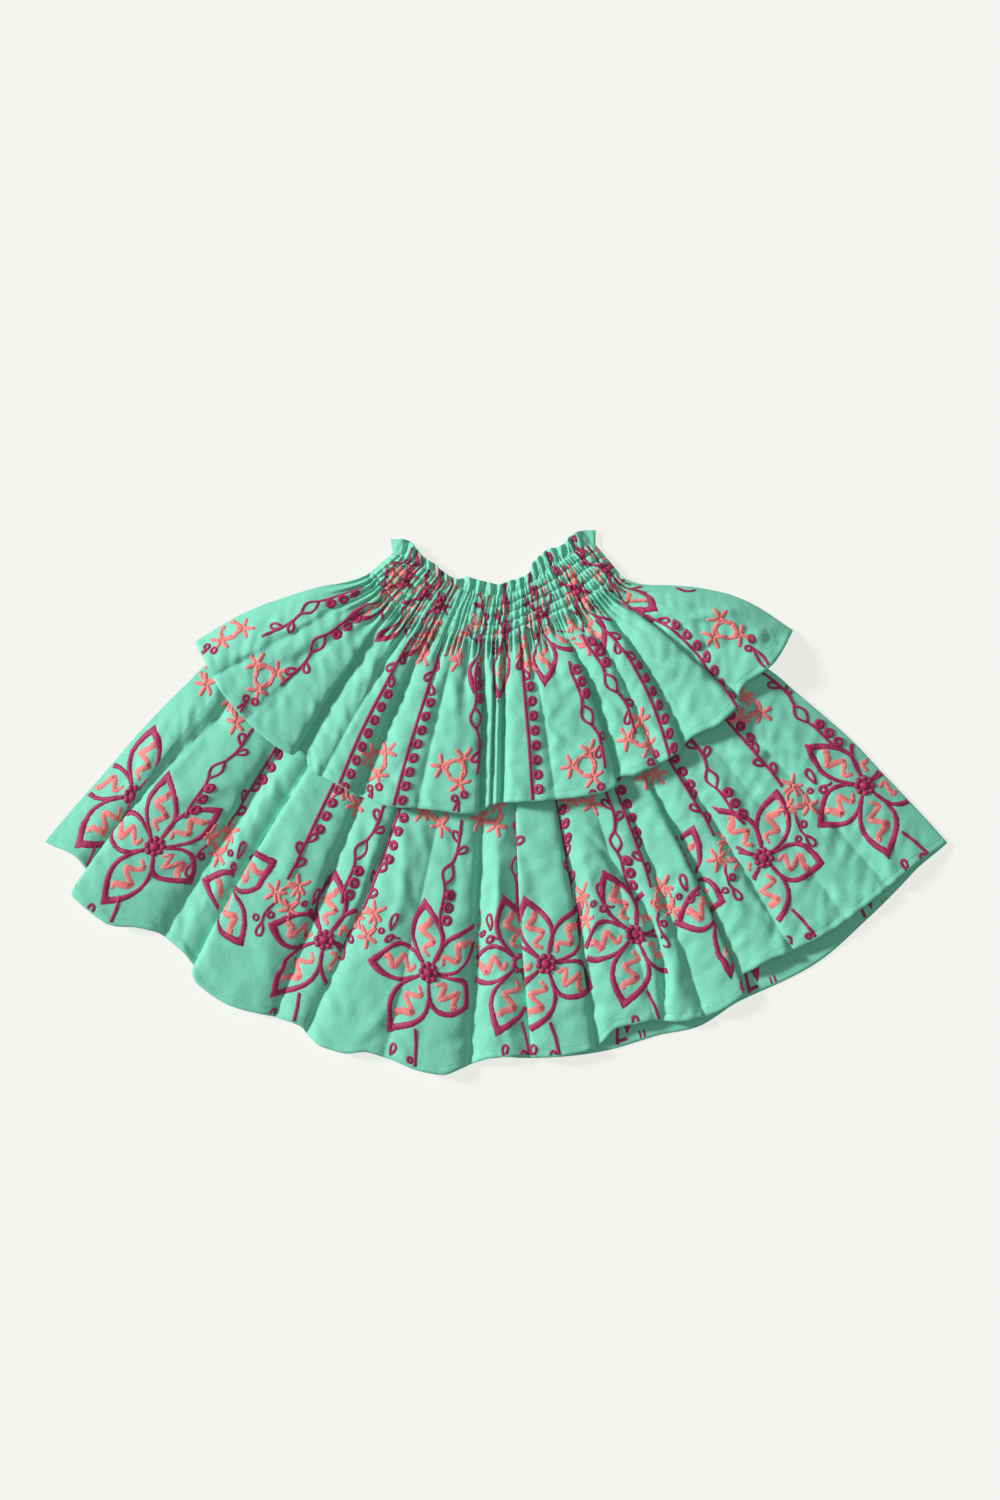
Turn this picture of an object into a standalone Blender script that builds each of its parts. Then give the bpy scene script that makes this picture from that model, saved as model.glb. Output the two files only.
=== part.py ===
"""A two-tier pollera skirt in mint cotton poplin, laid flat on its back with the waist towards +Y.

The laid skirt is a fan. Every point of the cloth is placed by its bearing and its reach from the
fan's centre, which lies in front of the waist. A bearing is in degrees, 0 towards the hem and
positive towards +X. Lengths in the tables are millimetres. The layers, from the floor up, are the
back upper tier, the back lower tier, the front lower tier and the front upper tier.
"""

from collections import namedtuple

import bmesh
import bpy
import numpy as np

MM = 0.001
FAN_CENTRE = (3.6, 333.6)  # mm; puts the middle of the skirt's box on the origin

# Cloth, in mm
WALL = 1.2  # poplin with its embroidery
HEM_TURN = 9.0  # depth of the narrow turned hem
HEM_FOLD = 0.8  # what the turned edge adds to the wall
SEAM_GAP = 0.5  # leaves 0.3 between the facets of a curved seam
LAYER_GAP = 0.3
STEEPEST = 3.0  # how far a steep fold's wall is thickened to keep its width

# Heights of the layers above the floor, in mm
# The back lower tier lies over the back upper tier and its hem, then comes down to the floor
BACK_LOWER_LIE = ((190.0, 300.0, 368.0, 398.0), (1.5, 2.3, 2.3, 0.0))  # at reaches, heights
FRONT_LOWER_LIE = ((190.0, 290.0, 400.0, 445.0), (3.0, 3.8, 3.8, 2.3))
WAIST_BACK = 3.0  # thickness of the shirred back waist
WAIST_FRONT_TOP = 2.4  # thickness of the shirred front waist at its heading and at its seam
WAIST_FRONT_SEAM = 5.0
GATHER = 2.6  # height of one gather of the shirring
GATHERS_RUN = 0.45  # share of the upper tier that its gathers run down
ELASTIC_ROWS = 6
ELASTIC_DIP = 1.3  # how far a row of elastic draws the gathers down

# Crests of the two front tiers, in mm
LOWER_CREST_SEAM = 1.5
LOWER_CREST = 13.0
LOWER_CREST_HEM = 10.0
UPPER_CREST_SEAM = 1.2
UPPER_CREST = 13.0
UPPER_CLEARANCE = 0.8  # from the lower tier's highest crests to the upper tier's valleys
SIDE_FALL = 62.0  # the front comes down to the back over this width at each side
VALLEY_ROUND = 1.5  # how softly a valley's bottom is rounded

Reach = namedtuple("Reach", "bearing reach")
Side = namedtuple("Side", "along left right")
Fold = namedtuple("Fold", "seam hem depth left right lean")

# The heading's free edge, then the line of the first elastic row
HEADING_TOP = (
    Reach(-69.8, 128), Reach(-67.5, 115), Reach(-63.7, 108), Reach(-50, 104), Reach(-45, 101),
    Reach(-34, 101), Reach(-28, 100), Reach(-21.8, 92), Reach(-10.7, 92), Reach(0.6, 94),
    Reach(5, 91), Reach(17.6, 89), Reach(23, 87), Reach(25.6, 81), Reach(32, 77),
    Reach(41.8, 76), Reach(54.8, 86), Reach(63.4, 88), Reach(69, 97), Reach(72.2, 111),
)
HEADING_LINE = (
    Reach(-63.2, 132), Reach(-54, 117), Reach(-37, 109), Reach(-23.4, 108), Reach(-5.5, 109),
    Reach(6.2, 105), Reach(23.6, 97), Reach(44.6, 95), Reach(58, 105), Reach(64.6, 117),
)
# The last elastic row, where the lower tier is sewn on underneath
WAIST_SEAM = (
    Reach(-60, 169), Reach(-49, 173), Reach(-38, 170), Reach(-27, 165), Reach(-10, 162),
    Reach(2, 157), Reach(12, 150), Reach(22, 148), Reach(34, 150), Reach(46, 157),
    Reach(57.5, 161),
)
UPPER_HEM = (
    Reach(-64.8, 371), Reach(-61.4, 370), Reach(-56, 372), Reach(-46, 369), Reach(-39.6, 362),
    Reach(-38, 352), Reach(-35.3, 364), Reach(-30.2, 361), Reach(-27, 361), Reach(-21.4, 360),
    Reach(-12.8, 350), Reach(-4.1, 347), Reach(-2.4, 338), Reach(1.5, 334), Reach(11.5, 337),
    Reach(20.3, 343), Reach(23, 333), Reach(25, 338), Reach(34, 341), Reach(37.9, 337),
    Reach(43, 346), Reach(49.1, 348), Reach(50.5, 338), Reach(58.8, 352), Reach(65.3, 354),
)
BACK_UPPER_HEM = (
    Reach(-64.8, 358), Reach(-30, 346), Reach(0, 326), Reach(30, 328), Reach(65.3, 342),
)
LOWER_HEM = (
    Reach(-53, 627), Reach(-49.1, 610), Reach(-48.1, 611), Reach(-47.0, 642), Reach(-42.8, 637),
    Reach(-40.1, 616), Reach(-37.8, 607), Reach(-34.3, 609), Reach(-31.1, 629), Reach(-28.6, 632),
    Reach(-23.1, 621), Reach(-21.3, 620), Reach(-18.2, 634), Reach(-16.3, 634), Reach(-13.6, 626),
    Reach(-11.4, 628), Reach(-8, 636), Reach(-6, 637), Reach(-3.7, 627), Reach(-1, 616),
    Reach(2, 614), Reach(6.2, 617), Reach(9.4, 614), Reach(12.5, 596), Reach(15.9, 598),
    Reach(19.4, 610), Reach(22.4, 614), Reach(25.4, 609), Reach(26.8, 588), Reach(28.4, 588),
    Reach(36.2, 598), Reach(44.9, 605), Reach(48.3, 609), Reach(52.5, 622),
)
BACK_LOWER_HEM = (
    Reach(-53, 621), Reach(-49, 604), Reach(-40, 601), Reach(-30, 602), Reach(-3, 606),
    Reach(2, 616), Reach(10.2, 619), Reach(16.2, 616), Reach(20.6, 621), Reach(25.6, 613),
    Reach(34.8, 619), Reach(41.3, 615), Reach(47.8, 614), Reach(52.5, 622),
)
# Bearings of the side edges, from the seam (0) to the hem (1)
UPPER_SIDES = (
    Side(0.0, -60.0, 57.5), Side(0.06, -60.6, 58.0), Side(0.28, -64.2, 63.4),
    Side(0.45, -65.3, 66.2), Side(0.66, -66.0, 67.6), Side(1.0, -64.9, 65.9),
)
LOWER_SIDES = (
    Side(0.0, -60.0, 57.5), Side(0.41, -60.9, 57.7), Side(0.51, -59.4, 56.8),
    Side(0.67, -57.0, 55.6), Side(0.78, -55.4, 54.4), Side(1.0, -53.0, 52.5),
)

# Valleys of the upper tier: bearing at the seam and at the hem, depth as a share of the crest,
# width of the slope on its left and on its right at the hem, and sideways lean of the cloth there
UPPER_FOLDS = (
    Fold(-60.0, -64.9, 0.00, 20, 20, 0.0),
    Fold(-55.6, -58.2, 0.45, 9, 12, 0.1),
    Fold(-50.0, -49.0, 0.20, 12, 12, 0.1),
    Fold(-44.5, -38.6, 1.00, 5, 16, 0.5),
    Fold(-36.0, -33.0, 0.35, 8, 8, 0.3),
    Fold(-28.0, -25.6, 1.00, 9, 13, 0.3),
    Fold(-17.0, -15.0, 0.30, 9, 9, 0.1),
    Fold(-6.0, -3.6, 1.00, 5, 5, 0.5),
    Fold(-2.0, -1.7, 0.75, 3, 4, 0.2),
    Fold(1.5, 0.4, 1.00, 4, 6, -0.1),
    Fold(12.5, 10.5, 0.30, 8, 8, 0.0),
    Fold(26.7, 22.6, 1.00, 5, 8, 0.5),
    Fold(35.8, 30.5, 0.45, 7, 7, 0.3),
    Fold(43.6, 36.4, 0.90, 6, 9, 0.5),
    Fold(50.4, 49.5, 0.75, 5, 12, 0.6),
    Fold(57.5, 65.9, 0.00, 20, 20, 0.0),
)
# Valleys of the lower tier, in the same columns
LOWER_FOLDS = (
    Fold(-60.0, -53.0, 0.00, 20, 20, 0.0),
    Fold(-56.0, -48.0, 0.70, 8, 10, -0.4),
    Fold(-44.0, -37.4, 1.00, 16, 30, 0.3),
    Fold(-36.6, -33.2, 0.95, 7, 5, -0.9),
    Fold(-26.0, -23.6, 0.90, 9, 14, 0.3),
    Fold(-17.0, -20.0, 0.75, 9, 12, 0.4),
    Fold(-10.5, -11.8, 0.35, 12, 12, 0.2),
    Fold(-3.4, -3.0, 1.00, 10, 16, 0.2),
    Fold(3.0, 3.4, 0.90, 8, 5, -0.9),
    Fold(10.8, 10.0, 0.85, 6, 9, 0.4),
    Fold(17.5, 16.5, 0.30, 10, 10, 0.2),
    Fold(23.0, 21.5, 0.65, 8, 12, 0.4),
    Fold(28.0, 26.4, 0.95, 5, 9, 0.9),
    Fold(33.6, 32.8, 0.50, 8, 12, 0.3),
    Fold(41.5, 39.5, 0.25, 14, 14, 0.1),
    Fold(48.5, 45.0, 0.40, 12, 14, 0.0),
    Fold(57.5, 52.5, 0.00, 20, 20, 0.0),
)
BACK_FOLDS = (
    Fold(-60.0, -53.0, 0.00, 20, 20, 0.0),
    Fold(-20.0, -18.0, 0.00, 20, 20, 0.0),
    Fold(20.0, 18.0, 0.00, 20, 20, 0.0),
    Fold(57.5, 52.5, 0.00, 20, 20, 0.0),
)
BACK_UPPER_FOLDS = (
    Fold(-60.0, -64.9, 0.00, 20, 20, 0.0),
    Fold(57.5, 65.9, 0.00, 20, 20, 0.0),
)

# Places of the grid's lines across one strip of cloth between two valleys, closer at the valleys
STRIP_6 = (0.0, 0.10, 0.28, 0.50, 0.72, 0.90)

MINT_POPLIN = ("cotton_poplin_mint", (0.21, 0.60, 0.42, 1.0))


def column(rows, name):
    """One named column of a table."""
    return np.array([getattr(row, name) for row in rows], float)


def curve(xs, ys, where):
    """A smooth curve through a table's points that never swings past them."""
    steps = np.diff(ys) / np.diff(xs)
    before, after = steps[:-1], steps[1:]
    turning = before * after <= 0
    mean = 2 * before * after / np.where(turning, 1.0, before + after)
    slopes = np.concatenate([steps[:1], np.where(turning, 0.0, mean), steps[-1:]])
    span = np.clip(np.searchsorted(xs, where) - 1, 0, len(xs) - 2)
    width = np.diff(xs)[span]
    u = np.clip((where - xs[span]) / width, 0, 1)
    start = (1 + 2 * u) * (1 - u) ** 2 * ys[span] + u * (1 - u) ** 2 * width * slopes[span]
    end = u**2 * (3 - 2 * u) * ys[span + 1] - u**2 * (1 - u) * width * slopes[span + 1]
    return start + end


def reach_of(rows, bearing):
    return curve(column(rows, "bearing"), column(rows, "reach"), bearing)


def ease(x):
    """0 to 1 with level ends."""
    x = np.clip(x, 0, 1)
    return x * x * (3 - 2 * x)


def dome(x):
    """0 to 1, steep at first and then level."""
    return 1 - (1 - np.clip(x, 0, 1)) ** 2


def arc(degrees, reach):
    """Length in mm of an arc of the fan."""
    return np.radians(degrees) * reach


def placed(bearing, reach, height):
    """Points in metres from bearings, reaches and heights."""
    angle = np.radians(bearing)
    x = FAN_CENTRE[0] + reach * np.sin(angle)
    y = FAN_CENTRE[1] - reach * np.cos(angle)
    return np.stack([x, y, np.broadcast_to(height, np.shape(x))], axis=-1) * MM


def strip_lines(strips, fractions):
    """Positions of the grid's lines, counted in strips from the left edge."""
    return np.array([n + part for n in range(strips) for part in fractions] + [strips])


def tier_plan(folds, sides, seam, hem, lines, rows):
    """Bearing and reach of each grid point of a tier before its folds lean."""
    index = np.arange(len(folds))
    at_seam = np.interp(lines, index, column(folds, "seam"))[:, None]
    at_hem = np.interp(lines, index, column(folds, "hem"))[:, None]
    down = rows[None, :]
    bearing = at_seam + (at_hem - at_seam) * down
    straight = at_seam[[0, -1]] + (at_hem - at_seam)[[0, -1]] * down
    for edge, name in ((0, "left"), (1, "right")):
        real = curve(column(sides, "along"), column(sides, name), rows)[None, :]
        share = np.clip(bearing / straight[edge], 0, 1)
        bearing = bearing + (real - straight[edge]) * share**2
    top = reach_of(seam, at_seam) + SEAM_GAP
    reach = top + (reach_of(hem, at_hem) - top) * down
    return bearing, reach


def fold_heights(folds, bearing, reach, rows, crest):
    """Height of the folded cloth above its lowest lie, and how far each point is from a side."""
    down = rows[None, :]
    height = np.ones_like(bearing)
    for fold in folds:
        if fold.depth == 0:
            continue
        line = fold.seam + (fold.hem - fold.seam) * down
        aside = arc(bearing - line, reach)
        spread = np.where(aside < 0, fold.left, fold.right) * (0.4 + 0.6 * down)
        away = np.sqrt(aside**2 + VALLEY_ROUND**2) - VALLEY_ROUND
        height = height * (1 - fold.depth * np.exp(-away / spread))
    near_edge = np.minimum(
        arc(bearing - bearing[:1], reach), arc(bearing[-1:] - bearing, reach)
    )
    return crest * height * dome(near_edge / SIDE_FALL), near_edge


def lean_of(folds, lines):
    """Sideways lean of the cloth at each of the grid's lines, in mm for each mm of height."""
    return curve(np.arange(len(folds), dtype=float), column(folds, "lean"), lines)[:, None]


def lower_crest(down):
    rise = LOWER_CREST_SEAM + (LOWER_CREST - LOWER_CREST_SEAM) * ease(down / 0.75)
    return rise - (LOWER_CREST - LOWER_CREST_HEM) * ease((down - 0.7) / 0.3)


def lower_crest_at(reach):
    """The lower tier's highest crest at a reach, taken where the tier is shortest."""
    shortest = reach_of(LOWER_HEM, 12.5) - 146.0
    return lower_crest((reach - 146.0) / shortest)


def wall_over(low, fold, bearing, reach, lean):
    """Outer and inner points of a folded wall that lies on the heights given by low."""
    along = arc(bearing, reach)
    slope = np.gradient(fold, axis=0) / np.maximum(np.gradient(along, axis=0), 0.2)
    thick = WALL * np.minimum(np.sqrt(1 + slope**2), STEEPEST)
    top = low + WALL + fold
    under = np.maximum(top - thick, low)
    turned = np.zeros_like(top)
    turned[:, -2:] = HEM_FOLD
    turned_by = np.degrees(lean * fold / reach)
    outer = placed(bearing + turned_by, reach, top + turned)
    lean_under = np.degrees(lean * np.maximum(under - low, 0) / reach)
    inner = placed(bearing + lean_under, reach, under)
    return outer, inner


def tier_rows(seam, hem, count):
    """Rows of the grid from the seam to the hem, the last ones at the turned hem."""
    length = np.mean(column(hem, "reach")) - np.mean(column(seam, "reach"))
    turn = HEM_TURN / length
    return np.append(np.linspace(0, 1 - 1.15 * turn, count - 1), [1 - turn, 1])


def lower_front():
    lines = strip_lines(len(LOWER_FOLDS) - 1, STRIP_6)
    rows = tier_rows(WAIST_SEAM, LOWER_HEM, 9)
    bearing, reach = tier_plan(LOWER_FOLDS, LOWER_SIDES, WAIST_SEAM, LOWER_HEM, lines, rows)
    crest = lower_crest(rows)[None, :]
    fold, _ = fold_heights(LOWER_FOLDS, bearing, reach, rows, crest)
    low = np.interp(reach, *FRONT_LOWER_LIE)
    return wall_over(low, fold, bearing, reach, lean_of(LOWER_FOLDS, lines))


def upper_front():
    lines = strip_lines(len(UPPER_FOLDS) - 1, STRIP_6)
    rows = tier_rows(WAIST_SEAM, UPPER_HEM, 7)
    bearing, reach = tier_plan(UPPER_FOLDS, UPPER_SIDES, WAIST_SEAM, UPPER_HEM, lines, rows)
    down = rows[None, :]
    crest = UPPER_CREST_SEAM + (UPPER_CREST - UPPER_CREST_SEAM) * ease(down / 0.6)
    fold, near_edge = fold_heights(UPPER_FOLDS, bearing, reach, rows, crest)
    gathers = 0.5 + 0.5 * np.cos(np.pi * np.arange(len(lines)))[:, None]
    fold = fold + GATHER * gathers * (1 - np.clip(down / GATHERS_RUN, 0, 1)) ** 1.5
    lower_lies, back_lies = max(FRONT_LOWER_LIE[1]), max(BACK_LOWER_LIE[1])
    over_lower = lower_lies + WALL + lower_crest_at(reach) + UPPER_CLEARANCE
    side_top = lower_lies + WALL + LAYER_GAP
    at_side = side_top + (back_lies - side_top) * ease(down / 0.6)
    low = at_side + (over_lower - at_side) * dome(near_edge / SIDE_FALL)
    return wall_over(low, fold, bearing, reach, lean_of(UPPER_FOLDS, lines))


def lower_back():
    lines = strip_lines(len(BACK_FOLDS) - 1, np.arange(16) / 16)
    rows = np.array([0, 0.24, 0.43, 0.53, 0.78, 1 - HEM_TURN / 455, 1])
    bearing, reach = tier_plan(BACK_FOLDS, LOWER_SIDES, WAIST_SEAM, BACK_LOWER_HEM, lines, rows)
    low = np.interp(reach, *BACK_LOWER_LIE)
    flat = np.zeros_like(low)
    return wall_over(low, flat, bearing, reach, 0)


def upper_back():
    lines = strip_lines(len(BACK_UPPER_FOLDS) - 1, np.arange(36) / 36)
    rows = np.array([0, 0.3, 0.65, 1 - HEM_TURN / 180, 1])
    sides, seam, hem = UPPER_SIDES, WAIST_SEAM, BACK_UPPER_HEM
    bearing, reach = tier_plan(BACK_UPPER_FOLDS, sides, seam, hem, lines, rows)
    flat = np.zeros_like(reach)
    return wall_over(flat, flat, bearing, reach, 0)


def waist_plan(lines, rows):
    """Bearing and reach of a grid over the shirred waist, from the heading to the seam."""
    across = lines[:, None]
    down = rows[None, :]
    ends = []
    for edge in (0, -1):
        start, end = HEADING_LINE[edge].bearing, WAIST_SEAM[edge].bearing
        ends.append(start + (end - start) * down)
    bearing = ends[0] + (ends[1] - ends[0]) * across
    top, bottom = reach_of(HEADING_LINE, bearing), reach_of(WAIST_SEAM, bearing)
    return bearing, top + (bottom - top) * down


def waist_front():
    lines = np.linspace(0, 1, 91)
    rows = np.linspace(0, 1, 2 * ELASTIC_ROWS + 1)
    bearing, reach = waist_plan(lines, rows)
    down = rows[None, :]
    gathers = 0.5 + 0.5 * np.cos(np.pi * np.arange(len(lines)))[:, None]
    drawn = ELASTIC_DIP * (0.5 - 0.5 * np.cos(np.pi * np.arange(len(rows))))[None, :]
    thick = WAIST_FRONT_TOP + (WAIST_FRONT_SEAM - WAIST_FRONT_TOP) * down
    low = WAIST_BACK + LAYER_GAP
    outer = placed(bearing, reach, low + thick + GATHER * gathers - drawn * (0.3 + 0.7 * gathers))
    return outer, placed(bearing, reach, low)


def waist_back():
    lines = np.linspace(0, 1, 91)
    rows = np.array([0.0, 1.0])
    bearing, reach = waist_plan(lines, rows)
    gathers = 0.5 + 0.5 * np.cos(np.pi * np.arange(len(lines)))[:, None] + 0 * reach
    return placed(bearing, reach, WAIST_BACK - 0.8 * gathers), placed(bearing, reach, 0)


def heading(lines, rows, waves, rise, low):
    """The free ruffle above the first elastic row, waved more towards its edge."""
    across, down = lines[:, None], rows[None, :]
    start = HEADING_TOP[0].bearing + (HEADING_LINE[0].bearing - HEADING_TOP[0].bearing) * down
    end = HEADING_TOP[-1].bearing + (HEADING_LINE[-1].bearing - HEADING_TOP[-1].bearing) * down
    bearing = start + (end - start) * across
    bottom = reach_of(HEADING_LINE, bearing) - SEAM_GAP
    top = reach_of(HEADING_TOP, bearing)
    reach = top + (bottom - top) * down
    swing = 0.5 + 0.5 * np.sin(2 * np.pi * waves * across + 1.1 * np.sin(9 * across))
    wave = rise * swing * (1 - 0.7 * down)
    return bearing, reach, low + WALL + wave, low + wave


def heading_front():
    lines, rows = np.linspace(0, 1, 89), np.array([0, 0.35, 0.7, 1.0])
    low = WAIST_BACK + LAYER_GAP
    bearing, reach, top, under = heading(lines, rows, 21, 4.0, low)
    return placed(bearing, reach, top), placed(bearing, reach, under)


def heading_back():
    lines, rows = np.linspace(0, 1, 67), np.array([0, 0.5, 1.0])
    bearing, reach, top, _ = heading(lines, rows, 16, 1.2, 0)
    return placed(bearing, reach, top), placed(bearing, reach, 0)


def cloth_material():
    name, colour = MINT_POPLIN
    cloth = bpy.data.materials.new(name)
    cloth.use_nodes = True
    shader = cloth.node_tree.nodes["Principled BSDF"]
    shader.inputs["Base Color"].default_value = colour
    shader.inputs["Roughness"].default_value = 0.75
    shader.inputs["Metallic"].default_value = 0.0
    return cloth


def sew(name, surfaces, material, collection, plain_inside=False):
    """A closed wall from a grid: its upper face takes the outer points, its lower face the inner."""
    outer, inner = surfaces
    columns, rows = outer.shape[0] - 1, outer.shape[1] - 1
    work = bmesh.new()
    bmesh.ops.create_grid(work, x_segments=columns, y_segments=rows, size=0.5)
    lifted = bmesh.ops.extrude_face_region(work, geom=work.faces[:])["geom"]
    upper = {item for item in lifted if isinstance(item, bmesh.types.BMVert)}
    places = {}
    for vertex in work.verts:
        line = round((vertex.co.x + 0.5) * columns)
        row = round((0.5 - vertex.co.y) * rows)
        places[vertex] = (line, row)
    for vertex, place in places.items():
        vertex.co = (outer if vertex in upper else inner)[place]
    if plain_inside:
        crossing = [
            edge
            for edge in work.edges
            if not any(end in upper for end in edge.verts)
            and places[edge.verts[0]][1] == places[edge.verts[1]][1]
            and 0 < places[edge.verts[0]][1] < rows
        ]
        bmesh.ops.dissolve_edges(work, edges=crossing, use_verts=True)
    bmesh.ops.recalc_face_normals(work, faces=work.faces)
    mesh = bpy.data.meshes.new(name)
    work.to_mesh(mesh)
    work.free()
    mesh.materials.append(material)
    mesh.shade_smooth()
    collection.objects.link(bpy.data.objects.new(name, mesh))


def main():
    for old in list(bpy.data.objects):
        bpy.data.objects.remove(old, do_unlink=True)
    skirt = bpy.data.collections.new("pollera_skirt")
    bpy.context.scene.collection.children.link(skirt)
    cloth = cloth_material()
    sew("upper_tier_back", upper_back(), cloth, skirt)
    sew("lower_tier_back", lower_back(), cloth, skirt)
    sew("shirred_waist_back", waist_back(), cloth, skirt)
    sew("heading_frill_back", heading_back(), cloth, skirt)
    sew("lower_tier_front", lower_front(), cloth, skirt)
    sew("upper_tier_front", upper_front(), cloth, skirt)
    sew("shirred_waist_front", waist_front(), cloth, skirt, plain_inside=True)
    sew("heading_frill_front", heading_front(), cloth, skirt)


main()
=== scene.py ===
"""Looks of the laid pollera skirt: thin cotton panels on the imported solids' form, with their folds,
gathers and creases, and the embroidery, elastic rows and hem stitches that lie on them.

The cloth is placed as in the part's source, by bearing and reach from the fan's centre. Bearings are
in degrees, 0 towards the hem and positive towards +X. Lengths are millimetres until a point is placed.
A spot on a panel is named by its line, the bearing at which that thread leaves the waist seam, and by
its way down: 0 at the waist seam, 1 at the hem, -1 at the first elastic row, -2 at the ruffle's edge.
"""

from collections import namedtuple

import bmesh
import bpy
import numpy as np
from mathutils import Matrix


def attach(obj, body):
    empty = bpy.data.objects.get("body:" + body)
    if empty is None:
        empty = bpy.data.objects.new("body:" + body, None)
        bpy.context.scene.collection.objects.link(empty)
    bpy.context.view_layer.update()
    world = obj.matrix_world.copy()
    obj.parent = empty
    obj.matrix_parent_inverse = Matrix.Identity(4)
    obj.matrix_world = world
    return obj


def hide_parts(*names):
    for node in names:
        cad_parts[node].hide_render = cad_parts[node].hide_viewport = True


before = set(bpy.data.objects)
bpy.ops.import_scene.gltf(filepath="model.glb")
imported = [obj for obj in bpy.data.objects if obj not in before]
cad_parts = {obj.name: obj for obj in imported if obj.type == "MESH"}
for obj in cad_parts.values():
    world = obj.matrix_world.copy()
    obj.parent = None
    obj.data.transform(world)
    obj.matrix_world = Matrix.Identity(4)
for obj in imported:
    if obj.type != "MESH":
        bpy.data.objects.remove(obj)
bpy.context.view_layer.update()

MM = 0.001
FAN_CENTRE = (3.6, 333.6)

# The part's own sizes, in mm
WALL = 1.2
HEM_TURN = 9.0
FRONT_LOWER_LIE = ((190.0, 290.0, 400.0, 445.0), (3.0, 3.8, 3.8, 2.3))
BACK_LOWER_LIE = ((190.0, 300.0, 368.0, 398.0), (1.5, 2.3, 2.3, 0.0))
WAIST_BACK = 3.0
LAYER_GAP = 0.3
WAIST_FRONT_TOP = 2.4
WAIST_FRONT_SEAM = 5.0
ELASTIC_ROWS = 6
LOWER_CREST_SEAM = 1.5
LOWER_CREST = 14.5
LOWER_CREST_HEM = 11.5
UPPER_CREST_SEAM = 1.2
UPPER_CREST = 14.5
UPPER_CLEARANCE = 0.8
SIDE_FALL = 62.0
UPPER_LENGTH = 190.0  # of each tier, from the waist seam to the hem
LOWER_LENGTH = 455.0
WAIST_REACH = 140.0  # where the shirring's gathers are measured
CREST_START = 146.0  # reach at which the lower tier's crest starts, just inside the waist seam
CREST_BEARING = 12.5  # where the hem's reach sets the crest's length
SEAM_ENDS = (-60.0, 57.5)  # bearings of the waist seam's ends
SEAM_SPAN = SEAM_ENDS[1] - SEAM_ENDS[0]
EDGE_LINES = (-59.95, 57.45)  # just inside those ends

# Cloth finer than the solids
POPLIN = 0.7  # thickness of the shown sheets
VALLEY_ROUND = 0.5
GATHERS = 64
GATHER_SEED = 11
PUFFS = 12  # along a gather in the shirring
CREASE_STRENGTH = 1.9  # what the creases' tabled heights are multiplied by
CREASE_BOW = 0.0022  # how much a crease curves, per mm
HIDDEN_GATHERS = 235  # degrees of their wave to one of bearing
HIDDEN_HEIGHT = 2.9  # least height of the lower tier's gathers under the upper tier
GATHER_HEIGHT = 7.6  # of the upper tier's gathers at the seam
PUFF_HEIGHT = 5.8  # of the puffs between the rows of elastic
RUFFLE_HEIGHT = 6.0  # of the ruffle's waves
SMALL_WAVE_HEIGHT = 2.4  # of the smaller waves on them
RUFFLE_WAVES, SMALL_WAVES, BACK_RUFFLE_WAVES = 21, 47, 16
LEAST_LIFT = 0.9  # least height of a sheet's upper face over what it lies on
LOWER_BACK_LIFT, UPPER_BACK_LIFT = 0.1, 0.12  # room for the stitches under the back panels
HEM_STEP, HEM_GROOVE, HEM_PUCKER = 0.45, 0.42, 0.3  # heights of the turned hem's relief

Reach = namedtuple("Reach", "bearing reach")
Side = namedtuple("Side", "along left right")
Fold = namedtuple("Fold", "seam hem depth left right lean")

HEADING_TOP = (
    Reach(-69.8, 128), Reach(-67.5, 115), Reach(-63.7, 108), Reach(-50, 104), Reach(-45, 101),
    Reach(-34, 101), Reach(-28, 100), Reach(-21.8, 92), Reach(-10.7, 92), Reach(0.6, 94),
    Reach(5, 91), Reach(17.6, 89), Reach(23, 87), Reach(25.6, 81), Reach(32, 77),
    Reach(41.8, 76), Reach(54.8, 86), Reach(63.4, 88), Reach(69, 97), Reach(72.2, 111),
)
HEADING_LINE = (
    Reach(-63.2, 132), Reach(-54, 117), Reach(-37, 109), Reach(-23.4, 108), Reach(-5.5, 109),
    Reach(6.2, 105), Reach(23.6, 97), Reach(44.6, 95), Reach(58, 105), Reach(64.6, 117),
)
WAIST_SEAM = (
    Reach(-60, 169), Reach(-49, 173), Reach(-38, 170), Reach(-27, 165), Reach(-10, 162),
    Reach(2, 157), Reach(12, 150), Reach(22, 148), Reach(34, 150), Reach(46, 157),
    Reach(57.5, 161),
)
UPPER_HEM = (
    Reach(-64.8, 371), Reach(-61.4, 370), Reach(-56, 372), Reach(-46, 369), Reach(-39.6, 362),
    Reach(-38, 352), Reach(-35.3, 364), Reach(-30.2, 361), Reach(-27, 361), Reach(-21.4, 360),
    Reach(-12.8, 350), Reach(-4.1, 347), Reach(-2.4, 338), Reach(1.5, 334), Reach(11.5, 337),
    Reach(20.3, 343), Reach(23, 333), Reach(25, 338), Reach(34, 341), Reach(37.9, 337),
    Reach(43, 346), Reach(49.1, 348), Reach(50.5, 338), Reach(58.8, 352), Reach(65.3, 354),
)
BACK_UPPER_HEM = (
    Reach(-64.8, 358), Reach(-30, 346), Reach(0, 326), Reach(30, 328), Reach(65.3, 342),
)
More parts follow.
